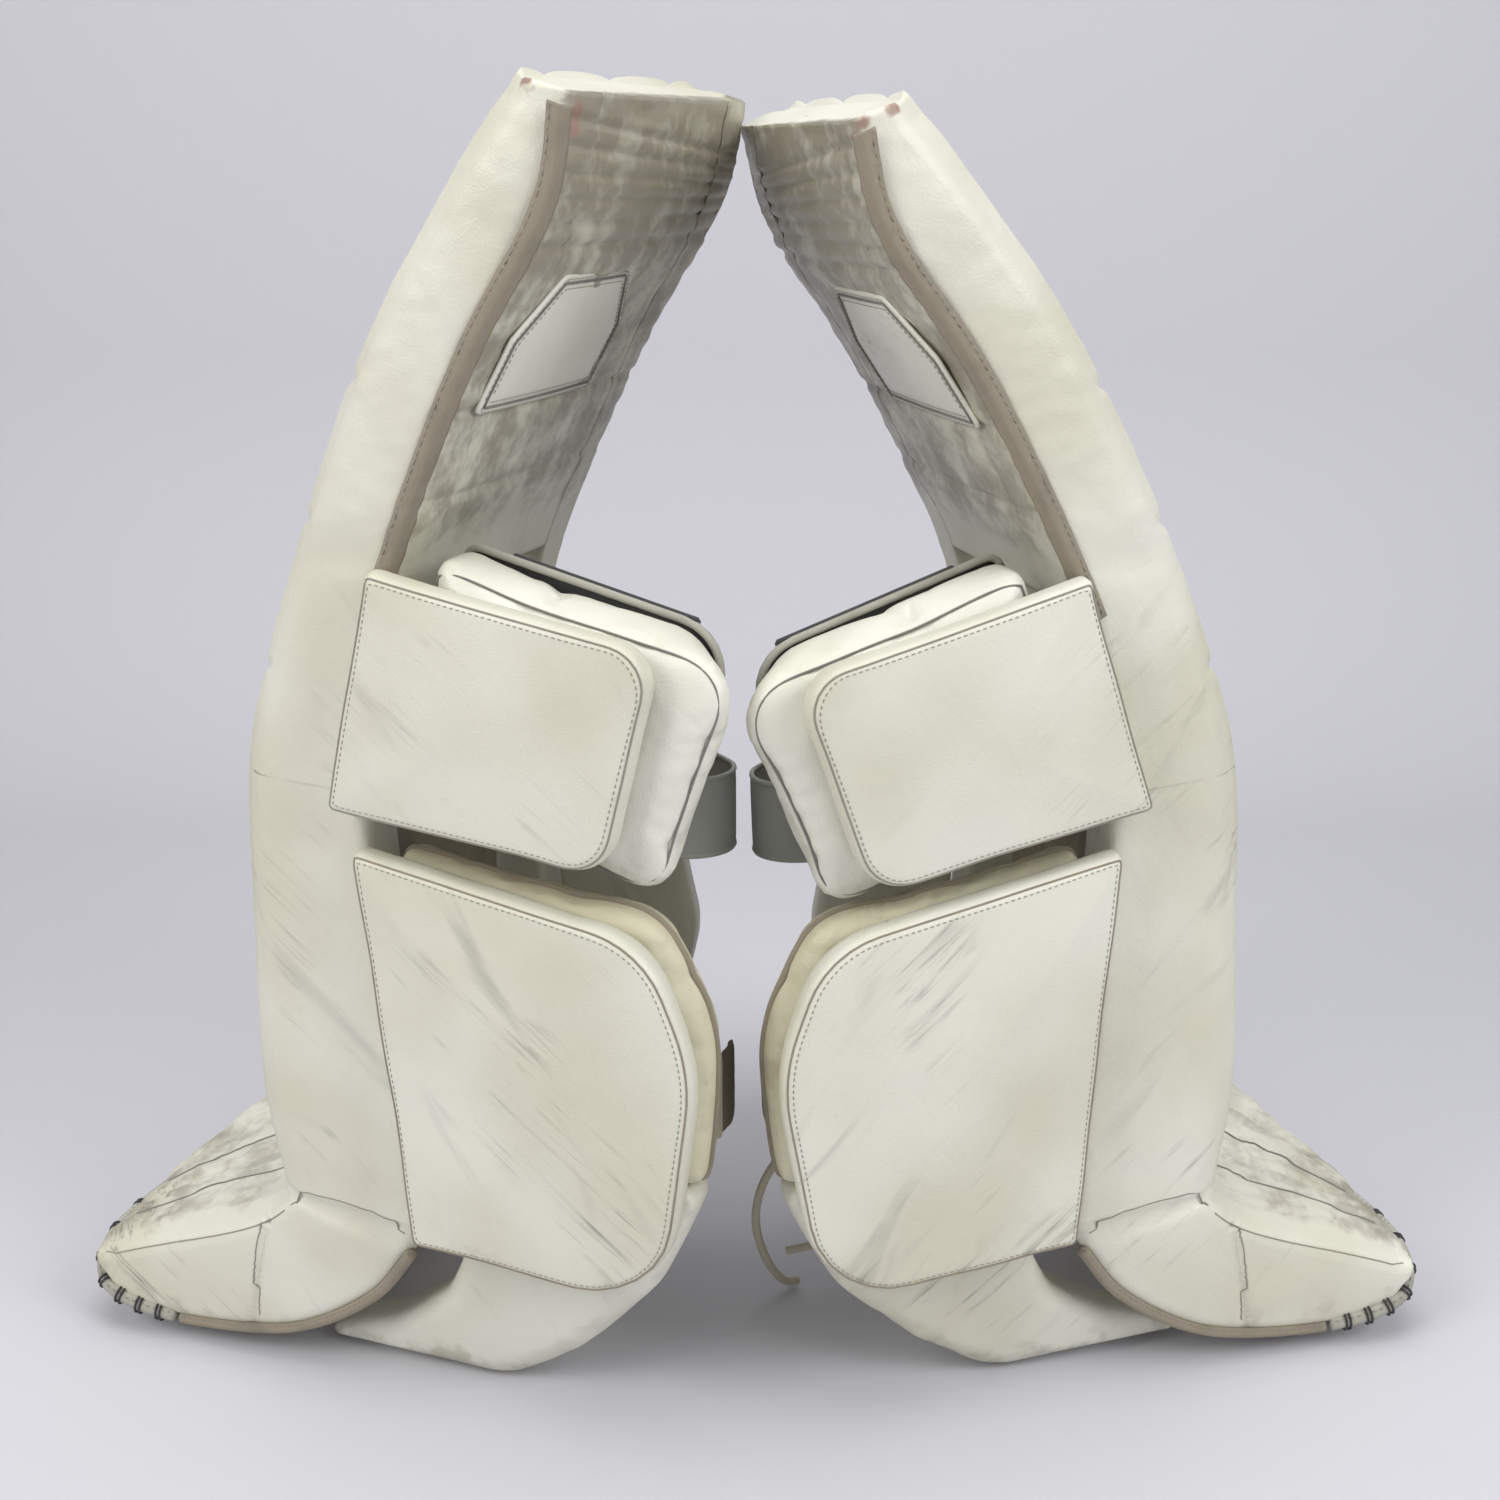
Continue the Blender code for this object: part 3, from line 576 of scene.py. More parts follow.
def leather(name, base, aged, scuffs, roughness=0.42, folds=0.0009, tilt=40):
    """Coated leather: soft tone patches, slanting scuff streaks, grime (on the knee block this is painted
    shade) and worn-through spots.
    """
    s = Shader(name, roughness)
    tone = s.mix(s.between(s.noise(6, 2), 0.35, 0.70), base, aged)
    share = s.math("MULTIPLY", s.mask("scuff"), scuffs)
    fine = s.noise(1, 4, 0.72, (7, 50, 125), tilt, 0.7)
    patch = s.between(s.noise(7, 3, 0.65), 0.52, 0.70)
    streak = s.math("MULTIPLY", s.between(fine, 0.50, 0.72), patch)
    tone = s.mix(s.math("MULTIPLY", streak, share), tone, SCUFF)
    smudge = s.between(s.noise(1, 3, 0.65, (5, 14, 22), tilt + 12, 0.8), 0.55, 0.80)
    tone = s.mix(s.math("MULTIPLY", s.math("MULTIPLY", smudge, share), 0.42), tone, SCUFF)
    blotch = s.noise(30, 3, 0.7)
    # The first mask, with blotches, mixes in the grime colour: real dirt on most pieces, and painted shade on
    # the knee block.
    dirt_and_shade_share = s.math("ADD", s.mask("dirt_and_shade"), s.between(blotch, 0.3, 0.7, -0.30, 0.22))
    tone = s.mix(s.between(dirt_and_shade_share, 0.22, 1.0, 0.0, 0.88), tone, GRIME_AND_SHADE)
    bare = s.between(s.math("ADD", s.mask("wear"), s.between(blotch, 0.35, 0.65, -0.45, 0.20)), 0.30, 0.62)
    tone = s.mix(bare, tone, WORN)
    grain = s.noise(650, 1)
    crease = s.noise(1, 2, 0.6, (50, 50, 22), 25, 0.5)
    relief = s.math("ADD", s.math("MULTIPLY", grain, 0.22), s.math("MULTIPLY", crease, 0.78))
    s.bump([(relief, folds)])
    return s.paint(tone, s.between(streak, 0.0, 1.0, roughness, roughness + 0.28))


def woven(name, base, dark, scale=900, depth=0.0004, grime=0.5, roughness=0.85):
    """Woven tape: a fine crossing weave with grime and fraying tone."""
    s = Shader(name, roughness, 0.25)
    across, along = s.waves(scale, "X"), s.waves(scale, "Z")
    deep = s.waves(scale, "Y")
    weave = s.math("MULTIPLY", s.math("MAXIMUM", across, deep), along)
    tone = s.mix(s.between(weave, 0.1, 0.8), dark, base)
    tone = s.mix(s.between(s.noise(22, 2, 0.7), 0.45, 0.75, 0.0, grime), tone, GRIME_AND_SHADE)
    fuzz = s.math("MULTIPLY", s.noise(150, 2), 0.5)
    s.bump([(s.math("ADD", s.math("MULTIPLY", weave, 0.5), fuzz), depth * 2)])
    return s.paint(tone)


def ribbed(name, base, dark, ribs=520):
    """Elastic webbing: fine ribs across the strap."""
    s = Shader(name, 0.8, 0.3)
    rib = s.waves(ribs, "Z", 0.4)
    tone = s.mix(s.between(rib, 0.2, 0.9), dark, base)
    tone = s.mix(s.between(s.noise(18, 2, 0.6), 0.5, 0.8, 0.0, 0.4), tone, GRIME_AND_SHADE)
    s.bump([(rib, 0.0006)])
    return s.paint(tone)


def lace_cloth():
    """Braided lace: cream with a dark double dot that repeats along it."""
    s = Shader("lace_braid", 0.8, 0.2)
    dots = s.math("MULTIPLY", s.between(s.waves(95, "Z"), 0.72, 0.86), s.between(s.noise(420, 2), 0.42, 0.52))
    tone = s.mix(s.between(s.noise(120, 3), 0.3, 0.7), (0.60, 0.56, 0.44), (0.42, 0.38, 0.28))
    tone = s.mix(dots, tone, (0.03, 0.03, 0.03))
    s.bump([(s.cells(700), 0.0005)])
    return s.paint(tone)


WHITE = leather("white_leather", (0.73, 0.72, 0.62), (0.62, 0.60, 0.47), 0.80)
CLEAN = leather("clean_leather", (0.78, 0.775, 0.69), (0.70, 0.69, 0.58), 0.30, 0.36, 0.0012)
CREAM = leather("cream_leather", (0.68, 0.645, 0.47), (0.56, 0.52, 0.36), 0.35, 0.55, 0.0016)
TAN = woven("tan_binding", (0.60, 0.52, 0.38), (0.40, 0.33, 0.23))
EDGE = woven("white_binding", (0.72, 0.71, 0.61), (0.56, 0.54, 0.44), grime=0.35, roughness=0.7)
DARK = woven("black_lining", (0.030, 0.030, 0.034), (0.010, 0.010, 0.012), 1100, 0.0003, 0.12)
FELT = woven("brown_lining", (0.52, 0.44, 0.29), (0.30, 0.24, 0.15), 1500, 0.0005, 0.6, 0.95)
ELASTIC = ribbed("grey_elastic", (0.78, 0.78, 0.71), (0.56, 0.56, 0.50))
THREAD = woven("grey_thread", (0.44, 0.42, 0.34), (0.30, 0.28, 0.22), 2400, 0.0001, 0.2)
PIPING = woven("grey_piping", (0.40, 0.39, 0.34), (0.26, 0.25, 0.22), 2000, 0.0002, 0.2)
LACE = lace_cloth()


# ---- covers ----
def knot(line, place):
    """The point at a place along a smooth line, where its first knot is at 0 and its next at 1."""
    return smooth_line(line, 1, place, place)[0]


def ring_points(corners, radii, counts, steps=5):
    """A closed ring with an arc at each corner and counts[i] points between corners i and i + 1."""
    arcs = np.array(rounded((corners, radii), 0.0, steps)).reshape(len(corners), steps + 1, 2)
    found = []
    for i, arc in enumerate(arcs):
        found.append(arc)
        start, end = arc[-1], arcs[(i + 1) % len(arcs)][0]
        shares = np.linspace(0, 1, counts[i] + 2)[1:-1, None]
        found.append(start + (end - start) * shares)
    return np.vstack(found)


COUNTS = [88, 34, 8, 12, 56, 12, 9, 34]


def cover_ring(front, rear, depth_parts, flare, twist, width):
    plate, medial, lateral = depth_parts
    along = (rear - front) / np.linalg.norm(rear - front)
    depth = np.linalg.norm(rear - front)
    corners = [
        (0, 0), (0, width), (depth, width), (depth, width - lateral),
        (plate, width - lateral), (plate, medial), (depth, medial), (depth, 0),
    ]
    notch = depth - plate
    small = min(1.0, notch / 0.020)
    face = min(0.018, 0.4 * depth)
    back = 0.010 if notch > 0.002 else 0.012
    channel = [max(0.0002, r * small) for r in (0.006, 0.010, 0.010, 0.006)]
    radii = [face, face, back * max(small, 0.4), *channel, back]
    radii = [min(r, 0.45 * depth) for r in radii]
    flat = ring_points(corners, radii, COUNTS)
    share = np.clip(flat[:, 1] / width, 0, 1) ** 2
    out = share * np.clip(1 - flat[:, 0] / depth, 0, 1)
    points = np.empty((len(flat), 3))
    points[:, 0] = front[0] + along[0] * flat[:, 0] + flare[0] * out - twist * share
    points[:, 1] = flat[:, 1]
    points[:, 2] = front[1] + along[1] * flat[:, 0] + flare[1] * out
    return points, flat[:, 0] / depth


def upper_section(leg, place):
    """The rise's slab above the knee break, and the channel behind the shin below it."""
    front, rear = knot(FACE, place), knot(REAR, place)
    depth = np.linalg.norm(rear - front)
    below = float(step(place, 3.95, 4.15))
    notch = max(0.0004, min(depth - PLATE, 0.060) * below)
    up = max(0.0, 1 - place / 4)
    twist = {"right": 0.010, "left": -0.004}[leg] * up
    ankle = max(0.0, (place - 4) / 5)
    flare = 0.020 * max(0.0, (ankle - 0.6) / 0.4) ** 2
    narrow = 0.006 * up**2
    parts = (depth - notch, MEDIAL_WALL, LATERAL_WALL)
    points, depths = cover_ring(front, rear, parts, (flare, 0), twist, WIDTH)
    points[:, 1] = narrow + points[:, 1] * (1 - 2 * narrow / WIDTH)
    return points, depths


def boot_section(place):
    front, rear = knot(BOOT_TOP, place), knot(BOOT_SOLE, place)
    lines = (BOOT_WIDTH, BOOT_PLATE, BOOT_FLARE_U, BOOT_FLARE_Z)
    width, plate, out, up = (float(knot(line, place)[0]) for line in lines)
    depth = np.linalg.norm(rear - front)
    start = float(step(place, 0.0, 0.5))
    medial = MEDIAL_WALL + (BOOT_WALL - MEDIAL_WALL) * start
    lateral = LATERAL_WALL + (BOOT_WALL - LATERAL_WALL) * start
    return cover_ring(front, rear, (min(plate, depth - 0.009), medial, lateral), (out, up), 0.0, width)


def puffed(shape, lift):
    """The shape with each point moved out along its normal by lift."""
    mesh = to_mesh_kept("puff", shape[0], shape[1])
    normals = np.array([v.normal for v in mesh.vertices])
    bpy.data.meshes.remove(mesh)
    return shape[0] + normals * lift(shape[0], normals)[:, None], shape[1]


def groove(value, at, width=0.0026):
    return np.exp(-(((value - at) / width) ** 2))


def folds(points, scales, seed):
    return stretched_noise(points, scales, (seed, -seed, 0.0))


def facing(normals, depths):
    """How far each point belongs to the medial side, to the lateral side and to the pad's face."""
    medial = step(-normals[:, 1], 0.5, 0.9)
    lateral = step(normals[:, 1], 0.5, 0.9)
    return medial, lateral, (1 - step(depths, 0.0, 0.05)) * (1 - medial) * (1 - lateral)


def face_rolls(w):
    """The upright rolls of the pad's face: 0 at a seam between two, 1 on top of each."""
    return np.abs(np.sin(np.pi * (w - FACE_SEAM) / ROLL_PITCH)) ** 0.4


def cover_lift(leg, depths):
    """How far each point of a cover stands out: rolls, seams between them, and soft creases."""
    seed = 3.0 if leg == "right" else 11.0

    def lift(points, normals):
        w, z = points[:, 1], points[:, 2]
        medial, lateral, face = facing(normals, depths)
        back = step(depths, 0.9, 0.99) * (1 - medial) * (1 - lateral)
        rise = step(z, 0.585, 0.625)
        shin = 1 - step(z, 0.575, 0.600)
        across = np.clip(np.sin(np.pi * np.clip(depths, 0, 1)), 0, 1) ** 0.6
        roll = np.sin(np.pi * np.clip(depths / 0.86, 0, 1)) ** 0.6
        found = medial * roll * 0.0050 * rise * (1 - 0.6 * step(z, 0.80, 0.87))
        found += medial * across * 0.0012 * shin
        found += lateral * across * 0.0050
        soft = folds(points, (18, 18, 26), seed)
        fine = folds(points, (60, 40, 95), seed)
        found += medial * rise * (0.0010 * soft + 0.0005 * fine)
        top = 1 - step(z, 0.775, 0.800)
        crown = np.sin(np.pi * np.clip(w / WIDTH, 0, 1)) ** 0.5
        found += back * rise * crown * (0.0038 * top + 0.0010)
        found += back * rise * (0.0015 * soft + 0.0012 * fine)
        pleats = sum(groove(z + 0.02 * (w - 0.1) * k, 0.792 + 0.013 * k, 0.0022) for k in range(5))
        found -= back * rise * (0.0032 * groove(z, 0.779) + 0.0030 * groove(z, 0.682) + 0.0022 * pleats)
        found -= back * rise * 0.0022 * groove(z, 0.628)
        found += face * 0.0050 * face_rolls(w)
        for break_at in (0.700, 0.612, 0.515, 0.150):
            found -= face * 0.0034 * groove(z, break_at, 0.0040)
        found += face * (0.0008 * soft + 0.0004 * fine)
        found += shin * (medial + lateral) * 0.0006 * soft
        return found

    return lift


def boot_lift(leg, depths, places):
    """The same for the lower cover. places runs to 9 at the ankle, and from there to the toe."""
    seed = 5.0 if leg == "right" else 17.0

    def lift(points, normals):
        w, z = points[:, 1], points[:, 2]
        boot = step(places, 9.0, 9.25)
        medial, lateral, face = facing(normals, depths)
        soft = folds(points, (22, 20, 26), seed)
        found = (1 - boot) * (medial + lateral) * (0.0008 + 0.0008 * soft)
        found += (1 - boot) * face * (0.0050 * face_rolls(w))
        found -= 0.0030 * groove(places, 9.02, 0.035) * (medial + face)
        width = smooth_at(BOOT_WIDTH, places - 9)
        share = w / np.maximum(width, 0.01)
        across = np.clip(np.sin(np.pi * np.clip(depths, 0, 1)), 0, 1) ** 0.5
        found += boot * medial * across * (0.0030 + 0.0012 * soft)
        found -= boot * medial * 0.0022 * groove(points[:, 0], 0.140 - 0.22 * (z - 0.06), 0.0018)
        end = 1 - step(places, 13.5, 13.95)
        found += boot * face * end * (0.0045 * np.sin(np.pi * np.clip(share, 0, 1)) ** 0.5 + 0.0022 * soft)
        for seam in (0.36, 0.72):
            found -= boot * face * end * 0.0035 * groove(share, seam, 0.018)
        found += boot * face * end * 0.0018 * folds(points, (24, 120, 24), seed)
        found -= boot * 0.0022 * groove(depths, 0.035, 0.018) * (1 - lateral)
        return found

    return lift


def smooth_at(values, places):
    """values, given at knots 0, 1, 2..., read at places."""
    return np.interp(places, range(len(values)), values)


def build_covers(leg):
    stations = np.linspace(0, SPLIT, 190)
    made = [upper_section(leg, s) for s in stations]
    rings = [m[0] for m in made]
    top = rings[0]
    middle = top.mean(0)
    domes = [middle + (top - middle) * k for k in (0.15, 0.5, 0.8, 0.93, 0.98)]
    points, faces = loft(domes + rings, caps=(True, False))
    depths = np.concatenate([np.full(len(top), 0.5)] * len(domes) + [m[1] for m in made])
    shape = puffed((points, faces), cover_lift(leg, depths))
    upper = place(leg, "upper_cover", shape, None, WHITE, "white_leather",
                  ["thigh_cover", "thigh_core"], 0, "cover", MARKS["cover"])
    at = [world_point(leg, p, "cover") for p in ((0.078, 0.14, 0.610), (0.078, 0.14, 0.553))]
    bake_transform(upper)

    above = np.linspace(SPLIT, 9, 110)
    below = np.linspace(0.06, 5, 110)
    made = [upper_section(leg, s) for s in above] + [boot_section(s) for s in below]
    places = np.concatenate([above, below + 9])
    rings = [m[0] for m in made]
    count = len(rings[0])
    last = rings[-1]
    middle = last.mean(0)
    toe = [middle + (last - middle) * k + np.array([0.004 * (1 - k * k), 0, -0.001])
           for k in (0.9, 0.7, 0.4, 0.1)]
    points, faces = loft(rings + toe, caps=(False, True))
    depths = np.concatenate([m[1] for m in made] + [np.full(count, 0.5)] * len(toe))
    spread = np.repeat(np.concatenate([places, [14.0] * len(toe)]), count)
    shape = puffed((points, faces), boot_lift(leg, depths, spread))
    lean = (1 - step(spread, 8.86, 9.04))[:, None]
    moved = settled(leg, shape[0], "upper") * lean + shape[0] * (1 - lean)
    build_boot_seams(leg, tree_of(shape))
    low = place(leg, "lower_cover", shape, None, WHITE, "white_leather",
                ["shin_cover", "shin_core", "boot_cover", "boot_core"], 0, "base", MARKS["boot"])
    low.data.vertices.foreach_set("co", world(leg, moved).astype(np.float32).ravel())
    at = [world_point(leg, p, "base") for p in ((0.07, 0.14, 0.150), (0.09, 0.14, 0.112))]
    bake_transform(low)


def spots(points, centres):
    """A soft mask with a spot of each radius round each centre (u, w, z, radius)."""
    found = np.zeros(len(points))
    for u, w, z, radius in centres:
        away = np.linalg.norm(points - np.array([u, w, z]), axis=1)
        found = np.maximum(found, np.exp(-(away / radius) ** 2))
    return found


def thigh_dirt(leg, p):
    back = step(rear_gap(p), -0.010, -0.002)
    streaks = 0.14 * folds(p, (10, 60, 7), 4.0)
    return back * (0.70 * step(p[:, 2], 0.57, 0.62) + 0.26 * step(p[:, 2], 0.74, 0.80) + streaks)


def rear_gap(points):
    """How far behind the rear line each point lies, negative in front of it."""
    return np.interp(points[:, 2], REAR_Z, REAR_U) - points[:, 0]


REAR_LINE = smooth_line(REAR, 80)[::-1]
REAR_U, REAR_Z = REAR_LINE[:, 0], REAR_LINE[:, 1]
MARKS = {
    "cover": {"dirt_and_shade": thigh_dirt,
              "scuff": lambda leg, p: 1 - 0.80 * step(p[:, 2], 0.50, 0.62),
              "wear": lambda leg, p: spots(p, [(-0.121, 0.0, 0.860, 0.009), (-0.096, 0.0, 0.872, 0.008),
                                               (-0.124, 0.010, 0.850, 0.010)])},
    "boot": {"dirt_and_shade": lambda leg, p: 0.55 * (1 - step(p[:, 2], 0.010, 0.060))
             + 0.46 * step(p[:, 0], 0.125, 0.150) * step(p[:, 1], 0.006, 0.016)
             + 0.30 * step(p[:, 0], 0.22, 0.28)},
    "flap": {"dirt_and_shade": lambda leg, p: 0.22 * (1 - step(p[:, 2], 0.12, 0.22)),
             "scuff": lambda leg, p: 1 - 0.55 * step(p[:, 2], 0.38, 0.42)},
}


# ---- bindings along the edges ----
def edge_wrap(line, forward, side, reach, wrap, seed=0.0):
    """A strip folded over an edge: reach along forward on the side face, and wrap along the back.

    line is the edge, forward points from it over the side face, and side points out of that face."""
    line = np.array(line, float)
    rings = []
    for i, point in enumerate(line):
        ahead, out = np.array(forward[i]), np.array(side)
        wrinkle = 0.0009 * noise.noise(Vector((seed, i * 0.31, 0)))
        spread = 1 + 0.05 * noise.noise(Vector((seed, i * 0.13, 5)))
        profile = [(reach * spread, 0.0003), (reach * spread, 0.0018 + wrinkle),
                   (reach * 0.6, 0.0026 + wrinkle), (0.0040, 0.0028 - wrinkle), (0.0, 0.0020),
                   (-0.0022, -0.0010), (-0.0032, -0.0050), (-0.0034 + wrinkle, -wrap),
                   (-0.0012, -wrap), (-0.0010, -0.0050), (0.0010, 0.0), (0.0050, 0.0004)]
        rings.append(np.array([point + ahead * a + out * b for a, b in profile]))
    return loft(rings)


def build_bindings(leg):
    places = np.linspace(0.12, 4.0, 120)
    fronts, rears = (np.array([knot(line, s) for s in places]) for line in (FACE, REAR))
    ahead = (fronts - rears) / np.linalg.norm(fronts - rears, axis=1)[:, None]
    line = np.stack([rears[:, 0], np.full(len(places), 0.0), rears[:, 1]], axis=1)
    forward = np.stack([ahead[:, 0], np.zeros(len(places)), ahead[:, 1]], axis=1)
    shape = edge_wrap(line + forward * 0.003 - np.array([0, 0.0006, 0]), forward, (0, -1.0, 0), 0.0085, 0.008,
                      seed=2.0 if leg == "right" else 7.0)
    place(leg, "rear_binding", shape, "thigh", TAN, "tan_binding", ["thigh_binding"])
    thread = stitches(line + forward * 0.0090 - np.array([0, 0.0033, 0]), 0.0060, radius=0.0006)
    place(leg, "rear_binding_thread", thread, "thigh", THREAD, "tan_binding")

    # A tan roll runs under the boot from the heel to the ball of the foot, on both sides.
    places = np.linspace(0.10, 3.15, 90)
    soles = np.array([knot(BOOT_SOLE, s) for s in places])
    widths = smooth_at(BOOT_WIDTH, places)
    ahead = np.gradient(soles, axis=0)
    ahead /= np.linalg.norm(ahead, axis=1)[:, None]
    below = soles + np.stack([ahead[:, 1], -ahead[:, 0]], axis=1) * 0.0012
    for side, share, node in ((-1, 0.0, "boot_binding"), (1, 1.0, "boot_outer_binding")):
        wave = np.array([0.0005 * noise.noise(Vector((i * 0.35, share, 2.0))) for i in range(len(places))])
        out = widths * share + side * wave + 0.003 * (1 - 2 * share)
        edge = np.stack([below[:, 0], out, below[:, 1]], axis=1)
        place(leg, node, tube(edge, 0.0044, 14), "boot", TAN, "tan_binding", [node])
        seam = edge + np.array([0, side * 0.0039, 0.0028])
        place(leg, f"{node}_thread", stitches(seam, 0.0055), "boot", THREAD, "tan_binding")


def build_toe(leg):
    """The white edge round the toe, with the loops that its lacing runs through, and the toe tie."""
    edge = [(0.214, 0.003, 0.0195), (0.236, 0.0015, 0.0225), (0.254, 0.0005, 0.0275), (0.270, 0.003, 0.035),
            (0.281, 0.016, 0.046), (0.2855, 0.040, 0.054), (0.2855, 0.070, 0.057), (0.2825, 0.100, 0.059)]
    line = smooth_line(edge, 80)
    place(leg, "toe_binding", tube(line, 0.0070, 14, 0.8), "boot", EDGE, "white_leather", ["toe_binding"])
    place(leg, "toe_thread", stitches(line + np.array([0.001, -0.0060, 0.0042]), 0.0055), "boot", THREAD,
          "white_leather")
    loops = []
    for k in (6, 15, 25, 35, 45, 56, 67):
        turn = [math.pi * (n / 12 * 1.1 - 0.55) for n in range(13)]
        middle, ahead = line[k], line[k + 1] - line[k - 1]
        ahead = ahead / np.linalg.norm(ahead)
        out = np.cross(ahead, [0.0, 0.0, 1.0])
        out /= np.linalg.norm(out)
        high = np.cross(out, ahead)
        for gap in (-0.0016, 0.0016):
            loops.append(tube([middle + ahead * gap + 0.0074 * (math.cos(t) * out + math.sin(t) * high)
                               for t in turn], 0.0009, 6))
    place(leg, "lacing_loops", joined(*loops), "boot", DARK, "black_lining")
    cord = []
    for k in range(33):
        t = math.pi * k / 32
        cord.append((0.224 - 0.030 * math.sin(t), 0.062 + 0.020 * math.cos(t), 0.040 - 0.012 * math.sin(t)))
    place(leg, "toe_tie", tube(cord, 0.0032, 10), "boot", DARK, "black_lining", ["toe_tie"])


def build_boot_seams(leg, tree):
    """Stitched seams on the boot: round its side panel, across it, and two that meet at the toe."""
    lines = [
        [(0.018, -0.01, 0.124), (0.050, -0.01, 0.137), (0.085, -0.01, 0.141), (0.112, -0.01, 0.136)],
        [(0.117, -0.01, 0.129), (0.150, -0.01, 0.108), (0.200, -0.01, 0.089), (0.250, -0.01, 0.071),
         (0.268, 0.0, 0.062)],
        [(0.131, -0.01, 0.120), (0.139, -0.01, 0.080), (0.140, -0.01, 0.036)],
        [(0.125, 0.070, 0.160), (0.160, 0.060, 0.140), (0.210, 0.045, 0.112), (0.262, 0.028, 0.084)],
        [(0.125, 0.150, 0.165), (0.160, 0.135, 0.150), (0.210, 0.105, 0.120), (0.262, 0.070, 0.086)],
    ]
    for k, line in enumerate(lines):
        laid = []
        for point in smooth_line(line, 60):
            at, normal, _, _ = tree.find_nearest(Vector(point))
            laid.append(tuple(at + normal * 0.0003))
        finish = PIPING if k > 2 else THREAD
        place(leg, f"boot_seam_{k}", tube(laid, 0.0014 if k > 2 else 0.0008, 6, 0.7), "boot" if k else "shin",
              finish, "white_leather", how="base" if k else "upper")


def build_badge(leg):
    """The blank six-sided patch that is sewn on the back of the thigh rise."""
    back_line = [(-0.124, 0.864), (-0.110, 0.800), (-0.062, 0.722), (-0.024, 0.645), (0.010, 0.563)]
    line = smooth_line(back_line, 25)
    low, high = line[15], line[9]
    up = (high - low) / np.linalg.norm(high - low)
    back = np.array([-up[1], up[0]])
    tall = float(np.linalg.norm(high - low))
    corners = [(-0.084, -0.003), (0.084, -0.003), (0.084, 0.55 * tall), (0.050, tall + 0.002),
               (-0.050, tall + 0.002), (-0.084, 0.55 * tall)]

    def laid(inset, lift):
        flat = even(rounded((corners, [0.006] * 6), inset), 0.003)
        bow = 0.0028 * (1 - np.clip(np.abs(flat[:, 0]) / 0.14, 0, 1) ** 2)
        found = np.empty((len(flat), 3))
        at = low + up * flat[:, 1:2] + back[None, :] * (lift + bow)[:, None]
        found[:, 0], found[:, 1], found[:, 2] = at[:, 0], BADGE_W + flat[:, 0], at[:, 1]
        return found

    rings = []
    for inset, lift in ((0.0, 0.0004), (0.0, 0.0018), (0.0008, 0.0026), (0.0030, 0.0030), (0.0052, 0.0024),
                        (0.0074, 0.0030), (0.0130, 0.0034)):
        rings.append(laid(inset, lift))
    count = min(len(r) for r in rings)
    rings = [r[np.linspace(0, len(r) - 1, count).round().astype(int)] for r in rings]
    centre = rings[-1].mean(0)
    rings += [centre + (rings[-1] - centre) * k for k in (0.75, 0.5, 0.25, 0.05)]
    place(leg, "badge", loft(rings), "thigh", CLEAN, "white_leather", ["thigh_label"])
    outline = laid(0.0052, 0.0030)
    place(leg, "badge_outline", tube(np.vstack([outline, outline[:1]]), 0.0009, 6), "thigh", PIPING,
          "white_leather")
    seams = [stitches(laid(k, 0.0034), 0.0042, radius=0.0004, closed=True) for k in (0.0022, 0.0092)]
    place(leg, "badge_thread", joined(*seams), "thigh", THREAD, "white_leather")


# ---- flaps, cushions and wings ----
def side_ring(outline, inset, w, spacing=0.004):
    """The outline, moved inwards by inset, as a closed line in the side plane at w."""
    ring = even(rounded(outline, inset), spacing)
    line = np.stack([ring[:, 0], np.full(len(ring), w), ring[:, 1]], axis=1)
    return np.vstack([line, line[:1]])


def seam_round(shape, outline, inset, w, lift, pitch=0.0050, radius=0.00055):
    return stitches(on_surface(shape, side_ring(outline, inset, w), lift), pitch, radius=radius)


def seam_line(shape, outline, inset, w):
    return on_surface(shape, side_ring(outline, inset, w, 0.003), 0.0002)


def border(outline, inset, w, radius):
    """A bound edge: a soft, slightly wavy roll round an outline."""
    line = side_ring(outline, inset, w)
    line[:, 1] += [0.0005 * noise.noise(Vector((i * 0.4, w * 50, 0))) for i in range(len(line))]
    return tube(line, radius, 10, 0.8)


def soft_panel(outline, outer, inner, seed, crown):
    return rippled(panel(outline, outer, inner, crown, 0.0065), 0.0016, (17, 30, 15), seed)


def build_flaps(leg):
    seed = 1.0 if leg == "right" else 8.0
    for name, outline, body in (("knee_flap", KNEE_FLAP, "knee_flap"), ("calf_flap", CALF_FLAP, "calf_flap")):
        shape = soft_panel(outline, -0.0240, -0.0028, seed + len(body), 0.0036)
        how = "stack" if name == "knee_flap" else "upper"
        piece = place(leg, name, shape, body, WHITE, "white_leather",
                      [f"{name}_cover", f"{name}_core"], 0, how, MARKS["flap"])
        rim = seam_line(shape, outline, 0.0022, -0.0235)
        place(leg, f"{name}_piping", tube(rim, 0.0007, 8), body, THREAD if name == "knee_flap" else TAN,
              "white_leather", how=how)
        thread = seam_round(shape, outline, 0.0044, -0.030, 0.0001, 0.0042, 0.00045)
        place(leg, f"{name}_thread", thread, body, THREAD, "white_leather", how=how)


# Painted shade: dark spots on the knee block, along its lower edge above the calf flap and behind the knee
# flap's rear edge.
BLOCK_SHADE_SPOTS = [(-0.13, 0.03, 0.40, 0.05), (-0.19, 0.05, 0.50, 0.03)]


